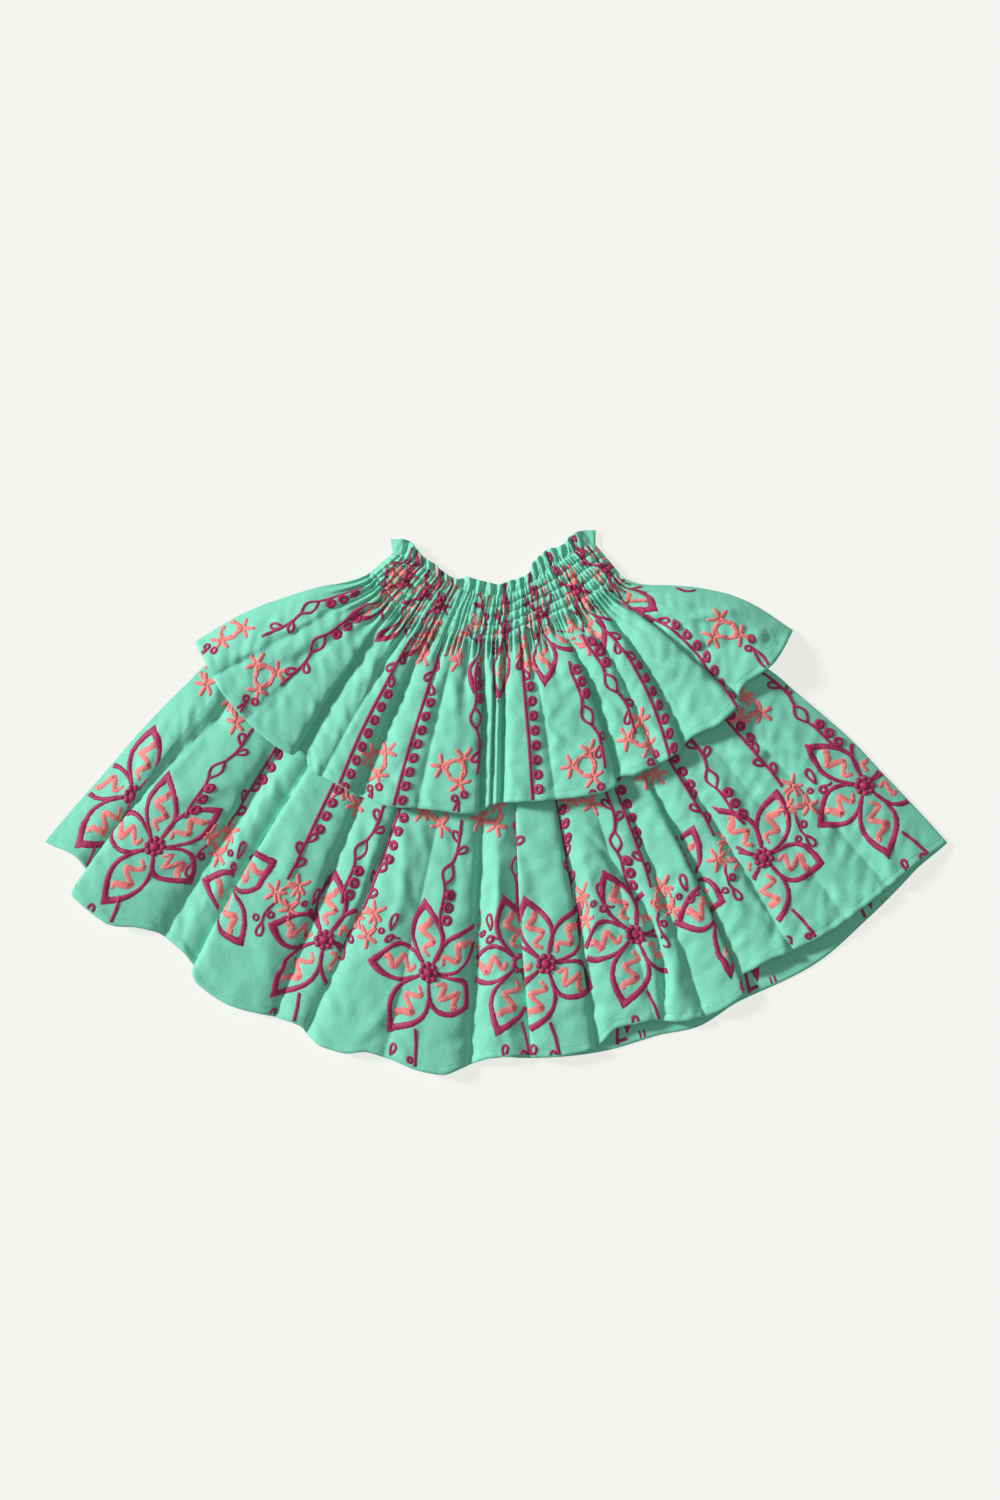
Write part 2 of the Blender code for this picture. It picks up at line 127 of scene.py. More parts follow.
LOWER_HEM = (
    Reach(-53, 627), Reach(-49.1, 610), Reach(-48.1, 611), Reach(-47.0, 642), Reach(-42.8, 637),
    Reach(-40.1, 616), Reach(-37.8, 607), Reach(-34.3, 609), Reach(-31.1, 629), Reach(-28.6, 632),
    Reach(-23.1, 621), Reach(-21.3, 620), Reach(-18.2, 634), Reach(-16.3, 634), Reach(-13.6, 626),
    Reach(-11.4, 628), Reach(-8, 636), Reach(-6, 637), Reach(-3.7, 627), Reach(-1, 616),
    Reach(2, 614), Reach(6.2, 617), Reach(9.4, 614), Reach(12.5, 596), Reach(15.9, 598),
    Reach(19.4, 610), Reach(22.4, 614), Reach(25.4, 609), Reach(26.8, 588), Reach(28.4, 588),
    Reach(36.2, 598), Reach(44.9, 605), Reach(48.3, 609), Reach(52.5, 622),
)
BACK_LOWER_HEM = (
    Reach(-53, 621), Reach(-49, 604), Reach(-40, 601), Reach(-30, 602), Reach(-3, 606),
    Reach(2, 616), Reach(10.2, 619), Reach(16.2, 616), Reach(20.6, 621), Reach(25.6, 613),
    Reach(34.8, 619), Reach(41.3, 615), Reach(47.8, 614), Reach(52.5, 622),
)
UPPER_SIDES = (
    Side(0.0, -60.0, 57.5), Side(0.06, -60.6, 58.0), Side(0.28, -64.2, 63.4),
    Side(0.45, -65.3, 66.2), Side(0.66, -66.0, 67.6), Side(1.0, -64.9, 65.9),
)
LOWER_SIDES = (
    Side(0.0, -60.0, 57.5), Side(0.41, -60.9, 57.7), Side(0.51, -59.4, 56.8),
    Side(0.67, -57.0, 55.6), Side(0.78, -55.4, 54.4), Side(1.0, -53.0, 52.5),
)
UPPER_FOLDS = (
    Fold(-60.0, -64.9, 0.00, 20, 20, 0.0),
    Fold(-55.6, -58.2, 0.45, 9, 12, 0.1),
    Fold(-50.0, -49.0, 0.20, 12, 12, 0.1),
    Fold(-44.5, -38.6, 1.00, 5, 16, 0.5),
    Fold(-36.0, -33.0, 0.35, 8, 8, 0.3),
    Fold(-28.0, -25.6, 1.00, 9, 13, 0.3),
    Fold(-17.0, -15.0, 0.30, 9, 9, 0.1),
    Fold(-6.0, -3.6, 1.00, 5, 5, 0.5),
    Fold(-2.0, -1.7, 0.75, 3, 4, 0.2),
    Fold(1.5, 0.4, 1.00, 4, 6, -0.1),
    Fold(12.5, 10.5, 0.30, 8, 8, 0.0),
    Fold(26.7, 22.6, 1.00, 5, 8, 0.5),
    Fold(35.8, 30.5, 0.45, 7, 7, 0.3),
    Fold(43.6, 36.4, 0.90, 6, 9, 0.5),
    Fold(50.4, 49.5, 0.75, 5, 12, 0.6),
    Fold(57.5, 65.9, 0.00, 20, 20, 0.0),
)
LOWER_FOLDS = (
    Fold(-60.0, -53.0, 0.00, 20, 20, 0.0),
    Fold(-56.0, -48.0, 0.70, 8, 10, -0.4),
    Fold(-44.0, -37.4, 1.00, 16, 30, 0.3),
    Fold(-36.6, -33.2, 0.95, 7, 5, -0.9),
    Fold(-26.0, -23.6, 0.90, 9, 14, 0.3),
    Fold(-17.0, -20.0, 0.75, 9, 12, 0.4),
    Fold(-10.5, -11.8, 0.35, 12, 12, 0.2),
    Fold(-3.4, -3.0, 1.00, 10, 16, 0.2),
    Fold(3.0, 3.4, 0.90, 8, 5, -0.9),
    Fold(10.8, 10.0, 0.85, 6, 9, 0.4),
    Fold(17.5, 16.5, 0.30, 10, 10, 0.2),
    Fold(23.0, 21.5, 0.65, 8, 12, 0.4),
    Fold(28.0, 26.4, 0.95, 5, 9, 0.9),
    Fold(33.6, 32.8, 0.50, 8, 12, 0.3),
    Fold(41.5, 39.5, 0.25, 14, 14, 0.1),
    Fold(48.5, 45.0, 0.40, 12, 14, 0.0),
    Fold(57.5, 52.5, 0.00, 20, 20, 0.0),
)
BACK_FOLDS = (
    Fold(-60.0, -53.0, 0.00, 20, 20, 0.0),
    Fold(-20.0, -18.0, 0.00, 20, 20, 0.0),
    Fold(20.0, 18.0, 0.00, 20, 20, 0.0),
    Fold(57.5, 52.5, 0.00, 20, 20, 0.0),
)
BACK_UPPER_FOLDS = (
    Fold(-60.0, -64.9, 0.00, 20, 20, 0.0),
    Fold(57.5, 65.9, 0.00, 20, 20, 0.0),
)

# Soft creases: middle (bearing, reach), the way it runs from the fan's radius in degrees, its length
# and its width in mm, and its height, below 0 for a trough
Crease = namedtuple("Crease", "bearing reach turn length width height")
UPPER_CREASES = (
    Crease(56, 300, 40, 60, 7, -1.6), Crease(60, 262, 48, 45, 6, 1.5), Crease(50, 322, 35, 36, 5, -1.3),
    Crease(54, 240, 28, 50, 5, -1.5), Crease(46, 285, 20, 44, 5, 1.3), Crease(63, 325, 62, 30, 6, 1.2),
    Crease(58, 215, 22, 34, 4, 1.2), Crease(15, 272, 24, 38, 4, -1.3), Crease(18, 300, 34, 26, 4, 1.0),
    Crease(8, 300, -10, 34, 5, -0.9), Crease(-12, 240, 12, 44, 5, 1.1), Crease(-20, 300, -16, 36, 5, -1.0),
    Crease(-34, 280, 10, 52, 5, 1.1), Crease(-52, 290, -14, 60, 7, -1.5), Crease(-58, 320, -22, 44, 6, 1.3),
    Crease(-48, 330, 12, 32, 5, -1.0), Crease(-57, 245, -8, 44, 5, 1.2), Crease(33, 300, 10, 40, 4, 1.0),
    Crease(28, 255, 14, 36, 4, -1.0), Crease(40, 300, -12, 30, 4, -1.0),
)
LOWER_CREASES = (
    Crease(-50, 420, 20, 60, 8, -2.0), Crease(-54, 470, 34, 44, 7, 1.6), Crease(-46, 470, -28, 50, 8, 1.6),
    Crease(-40, 430, 10, 66, 8, -1.8), Crease(-42, 560, -30, 44, 7, -1.5), Crease(-30, 450, 12, 60, 7, 1.6),
    Crease(-27, 560, 30, 36, 7, 1.3), Crease(-21, 440, 6, 70, 6, -1.6), Crease(-15, 420, 14, 60, 6, 1.5),
    Crease(-13, 580, -24, 40, 8, 1.3), Crease(-7, 420, 4, 60, 6, -1.6), Crease(0, 450, -10, 60, 7, 1.5),
    Crease(6, 420, 8, 56, 6, -1.5), Crease(5, 570, 26, 36, 7, 1.2), Crease(12, 470, -12, 60, 6, 1.5),
    Crease(19, 430, 8, 60, 7, -1.5), Crease(20, 560, -30, 40, 7, 1.3), Crease(26, 430, 0, 50, 6, 1.4),
    Crease(31, 520, 24, 44, 7, -1.5), Crease(37, 420, -10, 60, 7, 1.5), Crease(40, 550, 40, 50, 8, -1.6),
    Crease(44, 470, 22, 54, 8, 1.6), Crease(48, 560, -20, 46, 8, 1.4), Crease(50, 440, 14, 50, 7, -1.6),
    Crease(33, 570, -35, 40, 7, 1.3), Crease(46, 400, 50, 40, 6, 1.4), Crease(19.2, 505, 0, 105, 5, -5.0),
)


def column(rows, name):
    return np.array([getattr(row, name) for row in rows], float)


def curve(xs, ys, where):
    """A smooth curve through a table's points that never swings past them."""
    steps = np.diff(ys) / np.diff(xs)
    before, after = steps[:-1], steps[1:]
    turning = before * after <= 0
    mean = 2 * before * after / np.where(turning, 1.0, before + after)
    slopes = np.concatenate([steps[:1], np.where(turning, 0.0, mean), steps[-1:]])
    span = np.clip(np.searchsorted(xs, where) - 1, 0, len(xs) - 2)
    width = np.diff(xs)[span]
    u = np.clip((where - xs[span]) / width, 0, 1)
    start = (1 + 2 * u) * (1 - u) ** 2 * ys[span] + u * (1 - u) ** 2 * width * slopes[span]
    end = u**2 * (3 - 2 * u) * ys[span + 1] - u**2 * (1 - u) * width * slopes[span + 1]
    return start + end


def reach_of(rows, bearing):
    return curve(column(rows, "bearing"), column(rows, "reach"), bearing)


def ease(x):
    x = np.clip(x, 0, 1)
    return x * x * (3 - 2 * x)


def dome(x):
    return 1 - (1 - np.clip(x, 0, 1)) ** 2


def arc(degrees, reach):
    return np.radians(degrees) * reach


def fan_point(bearing, reach, height):
    angle = np.radians(bearing)
    x = FAN_CENTRE[0] + reach * np.sin(angle)
    y = FAN_CENTRE[1] - reach * np.cos(angle)
    return np.stack([x, y, height + 0 * x], axis=-1)


def polar(points):
    """Bearings and reaches of points on the cloth."""
    x, y = points[..., 0] - FAN_CENTRE[0], FAN_CENTRE[1] - points[..., 1]
    return np.degrees(np.arctan2(x, y)), np.hypot(x, y)


# Gathers


def gather_table():
    draw = np.random.default_rng(GATHER_SEED)
    spread = np.arange(GATHERS) + 0.5 + draw.uniform(-0.3, 0.3, GATHERS)
    return {
        "line": SEAM_ENDS[0] + SEAM_SPAN * spread / GATHERS,
        "depth": draw.uniform(0.5, 1.0, GATHERS),
        "width": draw.uniform(1.0, 1.9, GATHERS),
        "run": 20 + 95 * draw.random(GATHERS) ** 1.8,
        "wander": draw.uniform(-0.55, 0.55, GATHERS),
        "phase": draw.uniform(0, 6.28, GATHERS),
        "puff": draw.uniform(0.35, 1.0, (GATHERS, PUFFS + 2)),
    }


GATHER = gather_table()


def gather_troughs(line, below, reach, in_waist=None):
    """How deep in a gather each spot is, 0 to 1, below being its way in mm under the waist seam."""
    found = np.zeros(np.broadcast(line, below).shape)
    nearest = np.searchsorted(GATHER["line"], line)
    for step in (-2, -1, 0, 1):
        k = np.clip(nearest + step, 0, GATHERS - 1)
        centre = GATHER["line"][k]
        depth = GATHER["depth"][k]
        if in_waist is not None:
            centre = centre + GATHER["wander"][k] * np.sin(7 * in_waist + GATHER["phase"][k])
            cell = np.clip(in_waist * PUFFS, 0, PUFFS + 0.999)
            low = cell.astype(int)
            part = ease(cell - low)
            depth = depth * (GATHER["puff"][k, low] * (1 - part) + GATHER["puff"][k, low + 1] * part)
        aside = arc(line - centre, reach)
        width = GATHER["width"][k] * (1 + np.maximum(below, 0) / 30)
        fade = (1 - np.clip(np.maximum(below, 0) / GATHER["run"][k], 0, 1)) ** 1.4
        found = np.maximum(found, depth * fade * np.exp(-((aside / width) ** 2)))
    return found


def creases(rows, bearing, reach):
    """Height that the soft creases add."""
    total = np.zeros(np.broadcast(bearing, reach).shape)
    for one in rows:
        side = arc(bearing - one.bearing, reach)
        out = reach - one.reach
        turn = np.radians(one.turn)
        along = out * np.cos(turn) + side * np.sin(turn)
        aside = side * np.cos(turn) - out * np.sin(turn) + CREASE_BOW * along**2
        fade = np.exp(-((aside / one.width) ** 2) - (along / one.length) ** 4)
        total += CREASE_STRENGTH * one.height * fade
    return total


# Small crumples: the way each set runs in degrees, its spacing and its height in mm
Crumple = namedtuple("Crumple", "turn spacing height")
CRUMPLES = (
    Crumple(20, 43, 0.8), Crumple(74, 35, 0.52), Crumple(-38, 38, 0.66), Crumple(-68, 28, 0.36),
)


def crumples(bearing, reach):
    """Height of the soft dents that crisp cotton keeps after it was folded."""
    total = 0.0
    for n, one in enumerate(CRUMPLES):
        turn, side = np.radians(one.turn), arc(bearing, reach)
        u = 2 * np.pi / one.spacing * (side * np.cos(turn) + reach * np.sin(turn))
        v = 2 * np.pi / one.spacing * (reach * np.cos(turn) - side * np.sin(turn))
        along = np.sin(u + 1.7 * np.sin(0.6 * v + n))
        across = np.sin(0.7 * v + 1.3 * np.sin(0.5 * u + 2 * n))
        total = total + one.height * along * across
    return total


# The panels' surfaces


def tier_plan(folds, sides, seam, hem, line, down):
    seams, hems = column(folds, "seam"), column(folds, "hem")
    at_hem = np.interp(line, seams, hems)
    bearing = line + (at_hem - line) * down
    along = column(sides, "along")
    edges = []
    for end, name in ((0, "left"), (-1, "right")):
        straight = seams[end] + (hems[end] - seams[end]) * down
        real = curve(along, column(sides, name), down)
        share = np.clip(bearing / straight, 0, 1)
        bearing = bearing + (real - straight) * share**2
        edges.append(real)
    top = reach_of(seam, line)
    reach = top + (reach_of(hem, at_hem) - top) * down
    near_edge = np.minimum(arc(bearing - edges[0], reach), arc(edges[1] - bearing, reach))
    return bearing, reach, np.maximum(near_edge, 0)


def folded(folds, bearing, reach, down):
    height = np.ones(np.broadcast(bearing, down).shape)
    for fold in folds:
        if fold.depth:
            line = fold.seam + (fold.hem - fold.seam) * down
            aside = arc(bearing - line, reach)
            spread = np.where(aside < 0, fold.left, fold.right) * (0.4 + 0.6 * down)
            away = np.sqrt(aside**2 + VALLEY_ROUND**2) - VALLEY_ROUND
            height = height * (1 - fold.depth * np.exp(-away / spread))
    return height


def lean_of(folds, line):
    return curve(column(folds, "seam"), column(folds, "lean"), line)


def lower_crest(down):
    rise = LOWER_CREST_SEAM + (LOWER_CREST - LOWER_CREST_SEAM) * ease(down / 0.75)
    return rise - (LOWER_CREST - LOWER_CREST_HEM) * ease((down - 0.7) / 0.3)


def lower_crest_at(reach):
    length = reach_of(LOWER_HEM, np.array(CREST_BEARING)) - CREST_START
    return lower_crest((reach - CREST_START) / length)


def hem_relief(down, length, bearing, reach):
    """The turned hem: a low step at its stitch line, with small puckers along it."""
    from_edge = (1 - down) * length
    pucker = np.sin(arc(bearing, reach) * 0.95 + 2.2 * np.sin(bearing * 0.9)) * 0.5 + 0.5
    step = HEM_STEP * ease((HEM_TURN + 0.4 - from_edge) / 0.8)
    groove = HEM_GROOVE * np.exp(-(((from_edge - HEM_TURN + 1.2) / 1.1) ** 2))
    near = np.exp(-(((from_edge - HEM_TURN) / 7) ** 2))
    return step - groove + HEM_PUCKER * near * pucker


def lower_front(line, down):
    bearing, reach, near_edge = tier_plan(LOWER_FOLDS, LOWER_SIDES, WAIST_SEAM, LOWER_HEM, line, down)
    fold = folded(LOWER_FOLDS, bearing, reach, down)
    # Under the upper tier the gathers are even, and as deep as the room between the layers
    hidden = (0.5 + 0.5 * np.cos(np.radians(line * HIDDEN_GATHERS))) * (1 - ease((reach - 300) / 60))
    room = np.maximum(lower_crest(down) * dome(near_edge / 20), HIDDEN_HEIGHT)
    fold = lower_crest(down) * fold * dome(near_edge / SIDE_FALL)
    fold = fold + (room * (1 - hidden) - fold) * (1 - ease((reach - 285) / 60))
    low = np.interp(reach, *FRONT_LOWER_LIE)
    shown = ease(near_edge / 26) * ease((reach - 250) / 60)
    crumple = creases(LOWER_CREASES, bearing, reach) * shown
    crumple = crumple + crumples(bearing, reach) * ease(near_edge / 26) * ease((reach - 345) / 30)
    height = low + WALL + fold + crumple + hem_relief(down, LOWER_LENGTH, bearing, reach)
    lean = lean_of(LOWER_FOLDS, line)
    height = np.maximum(height, low + LEAST_LIFT)
    return fan_point(bearing + np.degrees(lean * fold / reach), reach, height)


def heading(across, h):
    """Where the ruffle's cloth lies, straight from its free edge at h = 0 to the elastic at h = 1."""
    ends = []
    for rows in (HEADING_TOP, HEADING_LINE):
        bearing = rows[0].bearing + (rows[-1].bearing - rows[0].bearing) * across
        ends.append(fan_point(bearing, reach_of(rows, bearing), 0.0))
    return polar(ends[0] + (ends[1] - ends[0]) * h[..., None])


def above_the_seam(line, down):
    """Where the upper panels' shirring and ruffle lie.

    Gives a spot's share of the way across, down the shirring and down the ruffle, how far it is from
    the shirring's sides in mm, and the bearing and reach at which it is seen.
    """
    across = (line - SEAM_ENDS[0]) / SEAM_SPAN
    w, h = np.clip(down + 1, 0, 1), np.clip(down + 2, 0, 1)
    ends = [
        HEADING_LINE[end].bearing + (WAIST_SEAM[end].bearing - HEADING_LINE[end].bearing) * w
        for end in (0, -1)
    ]
    bearing = ends[0] + (ends[1] - ends[0]) * across
    top, bottom = reach_of(HEADING_LINE, bearing), reach_of(WAIST_SEAM, bearing)
    reach = top + (bottom - top) * w
    edge = np.minimum(arc(bearing - ends[0], reach), arc(ends[1] - bearing, reach))
    head = heading(across, h)
    in_waist = down > -1
    seen = np.where(in_waist, bearing, head[0]), np.where(in_waist, reach, head[1])
    return across, w, h, edge, seen


def waist_height(line, w):
    """Height of the shirred waist, w being 0 at the first elastic row and 1 at the seam."""
    thick = WAIST_FRONT_TOP + (WAIST_FRONT_SEAM - WAIST_FRONT_TOP) * w
    rows = np.cos(np.pi * 2 * (ELASTIC_ROWS - 1) * w)
    drawn = np.clip(0.5 + 0.5 * rows, 0, 1) ** 4
    trough = gather_troughs(line, np.zeros_like(w + line), WAIST_REACH, in_waist=w)
    puff = PUFF_HEIGHT * (1 - 0.35 * drawn) * (1 - np.minimum(1.2 * trough, 1))
    base = WAIST_BACK + LAYER_GAP + thick - 0.9 * drawn
    return base + puff


def upper_front(line, down):
    """The front upper panel: the ruffle, the shirred waist and the upper tier in one sheet."""
    line, down = np.broadcast_arrays(np.asarray(line, float), np.asarray(down, float))
    t = np.clip(down, 0, 1)
    bearing, reach, near_edge = tier_plan(UPPER_FOLDS, UPPER_SIDES, WAIST_SEAM, UPPER_HEM, line, t)
    fold = folded(UPPER_FOLDS, bearing, reach, t)
    crest = UPPER_CREST_SEAM + (UPPER_CREST - UPPER_CREST_SEAM) * ease(t / 0.42)
    fold = crest * fold * dome(near_edge / SIDE_FALL)
    trough = gather_troughs(line, t * UPPER_LENGTH, reach)
    gathers = GATHER_HEIGHT * (1 - np.clip(t / 0.8, 0, 1)) * (1 - 2.0 * trough)
    over_lower = max(FRONT_LOWER_LIE[1]) + WALL + lower_crest_at(reach) + UPPER_CLEARANCE
    side_top = max(FRONT_LOWER_LIE[1]) + WALL + LAYER_GAP
    at_side = side_top + (max(BACK_LOWER_LIE[1]) - side_top) * ease(t / 0.6)
    low = at_side + (over_lower - at_side) * dome(near_edge / SIDE_FALL)
    crumple = creases(UPPER_CREASES, bearing, reach) + crumples(bearing, reach + 40)
    crumple = crumple * ease(near_edge / 22) * ease(t / 0.25)
    tier = low + WALL + fold + gathers + crumple + hem_relief(t, UPPER_LENGTH, bearing, reach)
    tier = np.maximum(tier, low + LEAST_LIFT)
    lean = np.degrees(lean_of(UPPER_FOLDS, line) * fold / reach)

    across, w, h, edge, (top_bearing, top_reach) = above_the_seam(line, down)
    waist = waist_height(line, w)
    seam_share = ease((w - 0.86) / 0.14)
    waist = waist + (tier - waist) * seam_share * (down <= 0)

    swing = 0.5 + 0.5 * np.sin(2 * np.pi * RUFFLE_WAVES * across + 1.1 * np.sin(9 * across))
    small = 0.5 + 0.5 * np.sin(2 * np.pi * SMALL_WAVES * across + 2.0 * np.sin(14 * across))
    wave = RUFFLE_HEIGHT * swing * (1 - 0.6 * h) + SMALL_WAVE_HEIGHT * small * ease((h - 0.1) / 0.5)
    head = WAIST_BACK + LAYER_GAP + WALL + wave
    head = head + (waist - head) * ease((h - 0.72) / 0.28)

    in_tier, in_waist = down > 0, down > -1
    height = np.where(in_tier, tier, np.where(in_waist, waist, head))
    side_drop = dome(edge / 9)
    fallen = WAIST_BACK + LAYER_GAP + LEAST_LIFT
    height = np.where(in_tier, height, fallen + (height - fallen) * np.maximum(side_drop, seam_share))
    seen_bearing = np.where(in_tier, bearing + lean, top_bearing)
    return fan_point(seen_bearing, np.where(in_tier, reach, top_reach), height)


# Colours and materials


def linear(hex_colour):
    """An sRGB hex colour as the linear colour that Blender's sockets take."""
    parts = [int(hex_colour[n : n + 2], 16) / 255 for n in (1, 3, 5)]
    return tuple(c / 12.92 if c <= 0.04045 else ((c + 0.055) / 1.055) ** 2.4 for c in parts) + (1.0,)


def node(material, kind, settings=None, **sockets):
    """Adds a node with its settings; each socket takes a value or another node's output."""
    tree = material.node_tree
    made = tree.nodes.new(kind)
    for name, value in (settings or {}).items():
        setattr(made, name, value)
    for name, value in sockets.items():
        socket = made.inputs[int(name[1:])] if name[0] == "_" else made.inputs[name.replace("_", " ")]
        if isinstance(value, bpy.types.NodeSocket):
            tree.links.new(value, socket)
        else:
            socket.default_value = value
    return made


def new_material(name):
    material = bpy.data.materials.new(name)
    material.use_nodes = True
    return material, material.node_tree.nodes["Principled BSDF"]


def poplin():
    """Piece-dyed cotton poplin: a crisp plain weave, nearly matt, with a faint sheen on its folds."""
    material, shader = new_material("cotton_poplin_mint")
    shader.inputs["Roughness"].default_value = 0.62
    shader.inputs["Specular IOR Level"].default_value = 0.3
    shader.inputs["Sheen Weight"].default_value = 0.18
    shader.inputs["Sheen Roughness"].default_value = 0.45
    cloth = node(material, "ShaderNodeUVMap", {"uv_map": "cloth_mm"})
    threads = []
    for direction in ("X", "Y"):
        # Threads are 0.25 mm apart on real poplin and drawn 1 mm apart, so that they show
        wave = node(
            material, "ShaderNodeTexWave", {"wave_type": "BANDS", "bands_direction": direction},
            Vector=cloth.outputs["UV"], Scale=0.314, Distortion=1.1, Detail=2.0,
        )
        threads.append(wave.outputs["Fac"])
    weave = node(material, "ShaderNodeMath", {"operation": "MULTIPLY"}, _0=threads[0], _1=threads[1])
    place = node(material, "ShaderNodeTexCoord")
    slub = node(
        material, "ShaderNodeTexNoise", None,
        Vector=place.outputs["Object"], Scale=420.0, Detail=3.0, Roughness=0.6,
    )
    rumple = node(
        material, "ShaderNodeTexNoise", None,
        Vector=place.outputs["Object"], Scale=46.0, Detail=4.0, Roughness=0.5,
    )
    tint = node(
        material, "ShaderNodeMixRGB", {"blend_type": "MIX"},
        Fac=slub.outputs["Fac"], Color1=linear("#76D4B6"), Color2=linear("#8BE4CA"),
    )
    material.node_tree.links.new(tint.outputs["Color"], shader.inputs["Base Color"])
    soft = node(
        material, "ShaderNodeBump", None,
        Strength=0.5, Distance=0.003, Height=rumple.outputs["Fac"],
    )
    fine = node(
        material, "ShaderNodeBump", None,
        Strength=0.25, Distance=0.00015, Height=weave.outputs["Value"], Normal=soft.outputs["Normal"],
    )
    material.node_tree.links.new(fine.outputs["Normal"], shader.inputs["Normal"])
    return material


# Making the sheets


def sheet_piece(name, points, cloth_mm, material, thick=POPLIN):
    """A thin closed sheet from a grid of points in mm, its upper face on them."""
    columns, rows = points.shape[0] - 1, points.shape[1] - 1
    work = bmesh.new()
    bmesh.ops.create_grid(work, x_segments=columns, y_segments=rows, size=0.5)
    mesh = bpy.data.meshes.new(name)
    work.to_mesh(mesh)
    work.free()
    flat = np.zeros(len(mesh.vertices) * 3)
    mesh.vertices.foreach_get("co", flat)
    flat = flat.reshape(-1, 3)
    line = np.rint((flat[:, 0] + 0.5) * columns).astype(int)
    row = np.rint((0.5 - flat[:, 1]) * rows).astype(int)
    mesh.vertices.foreach_set("co", (points[line, row] * MM).astype(np.float32).ravel())
    corner = np.zeros(len(mesh.loops), np.int32)
    mesh.loops.foreach_get("vertex_index", corner)
    layer = mesh.uv_layers.new(name="cloth_mm")
    layer.data.foreach_set("uv", cloth_mm[line[corner], row[corner]].astype(np.float32).ravel())
    mesh.materials.append(material)
    mesh.shade_smooth()
    piece = bpy.data.objects.new(name, mesh)
    bpy.context.scene.collection.objects.link(piece)
    wall = piece.modifiers.new("cloth thickness", "SOLIDIFY")
    wall.thickness = thick * MM
    wall.offset = -1
    mesh.update()
    return piece


def cloth_lengths(points):
    """Cloth coordinates of a grid in mm: its own lengths across each row and down the panel."""
    across = np.linalg.norm(np.diff(points, axis=0), axis=-1)
    along = np.concatenate([np.zeros((1, points.shape[1])), np.cumsum(across, axis=0)])
    along = along - along[-1:] / 2
    down = np.linalg.norm(np.diff(points, axis=1), axis=-1).mean(axis=0)
    fall = np.concatenate([[0], np.cumsum(down)])
    return np.stack([along, -np.broadcast_to(fall, along.shape)], axis=-1)


def hem_rows(count, turn_share):
    body = np.linspace(0, 1 - 1.9 * turn_share, count)
    return np.append(body, [1 - s * turn_share for s in (1.35, 1.12, 1.0, 0.88, 0.72, 0.4, 0)])


def seam_columns(folds, each):
    """Grid lines, closer together at the valleys."""
    seams = column(folds, "seam")
    share = np.arange(each) / each
    share = share - 0.085 * np.sin(2 * np.pi * share)
    lines = [a + (b - a) * share for a, b in zip(seams[:-1], seams[1:])]
    return np.concatenate(lines + [seams[-1:]])


MINT = poplin()
upper_lines = seam_columns(UPPER_FOLDS, 24)
upper_rows = np.concatenate([
    np.linspace(-2, -1, 9)[:-1], np.linspace(-1, 0, 41)[:-1], hem_rows(58, HEM_TURN / UPPER_LENGTH),
])
upper_points = upper_front(upper_lines[:, None], upper_rows[None, :])
upper_panel = sheet_piece("upper_panel_front", upper_points, cloth_lengths(upper_points), MINT)

lower_lines = seam_columns(LOWER_FOLDS, 22)
lower_rows = hem_rows(110, HEM_TURN / LOWER_LENGTH)
lower_points = lower_front(lower_lines[:, None], lower_rows[None, :])
lower_panel = sheet_piece("lower_tier_front_sheet", lower_points, cloth_lengths(lower_points), MINT)

# The back panels


def back_gathers(line, below, reach):
    """The front's gathers the other way round."""
    return gather_troughs(-line - 2.5, below, reach)


def lower_back(line, down):
    bearing, reach, near_edge = tier_plan(BACK_FOLDS, LOWER_SIDES, WAIST_SEAM, BACK_LOWER_HEM, line, down)
    low = np.interp(reach, *BACK_LOWER_LIE)
    from_edge = (1 - down) * LOWER_LENGTH
    height = low + WALL + 0.25 * ease((HEM_TURN - from_edge) / 0.8)
    soft = 0.25 * np.sin(bearing * 0.55 + 1.3 * np.sin(reach / 70)) * ease(near_edge / 25)
    return fan_point(bearing, reach, height + soft + LOWER_BACK_LIFT)


def upper_back(line, down):
    """The back upper panel, its ruffle and shirring against the surface that the skirt lies on."""
    line, down = np.broadcast_arrays(np.asarray(line, float), np.asarray(down, float))
    t = np.clip(down, 0, 1)
    bearing, reach, near_edge = tier_plan(
        BACK_UPPER_FOLDS, UPPER_SIDES, WAIST_SEAM, BACK_UPPER_HEM, line, t
    )
    trough = back_gathers(line, t * 180, reach)
    tier = WALL + UPPER_BACK_LIFT + 0 * reach
    across, w, h, _, (top_bearing, top_reach) = above_the_seam(line, down)
    rows = np.clip(0.5 + 0.5 * np.cos(np.pi * 2 * (ELASTIC_ROWS - 1) * w), 0, 1) ** 4
    puff = back_gathers(line, 0 * w, WAIST_REACH)
    waist = WAIST_BACK - 0.15 - 1.2 * puff - 0.35 * rows
    waist = waist + (tier - waist) * ease((w - 0.8) / 0.2)
    swing = 0.5 + 0.5 * np.sin(2 * np.pi * BACK_RUFFLE_WAVES * across + 1.1 * np.sin(9 * across))
    head = WALL + 1.2 * swing * (1 - 0.7 * h)
    head = head + (waist - head) * ease((h - 0.7) / 0.3)
    in_tier, in_waist = down > 0, down > -1
    height = np.where(in_tier, tier - 0.35 * trough, np.where(in_waist, waist, head))
    return fan_point(
        np.where(in_tier, bearing, top_bearing), np.where(in_tier, reach, top_reach), height
    )


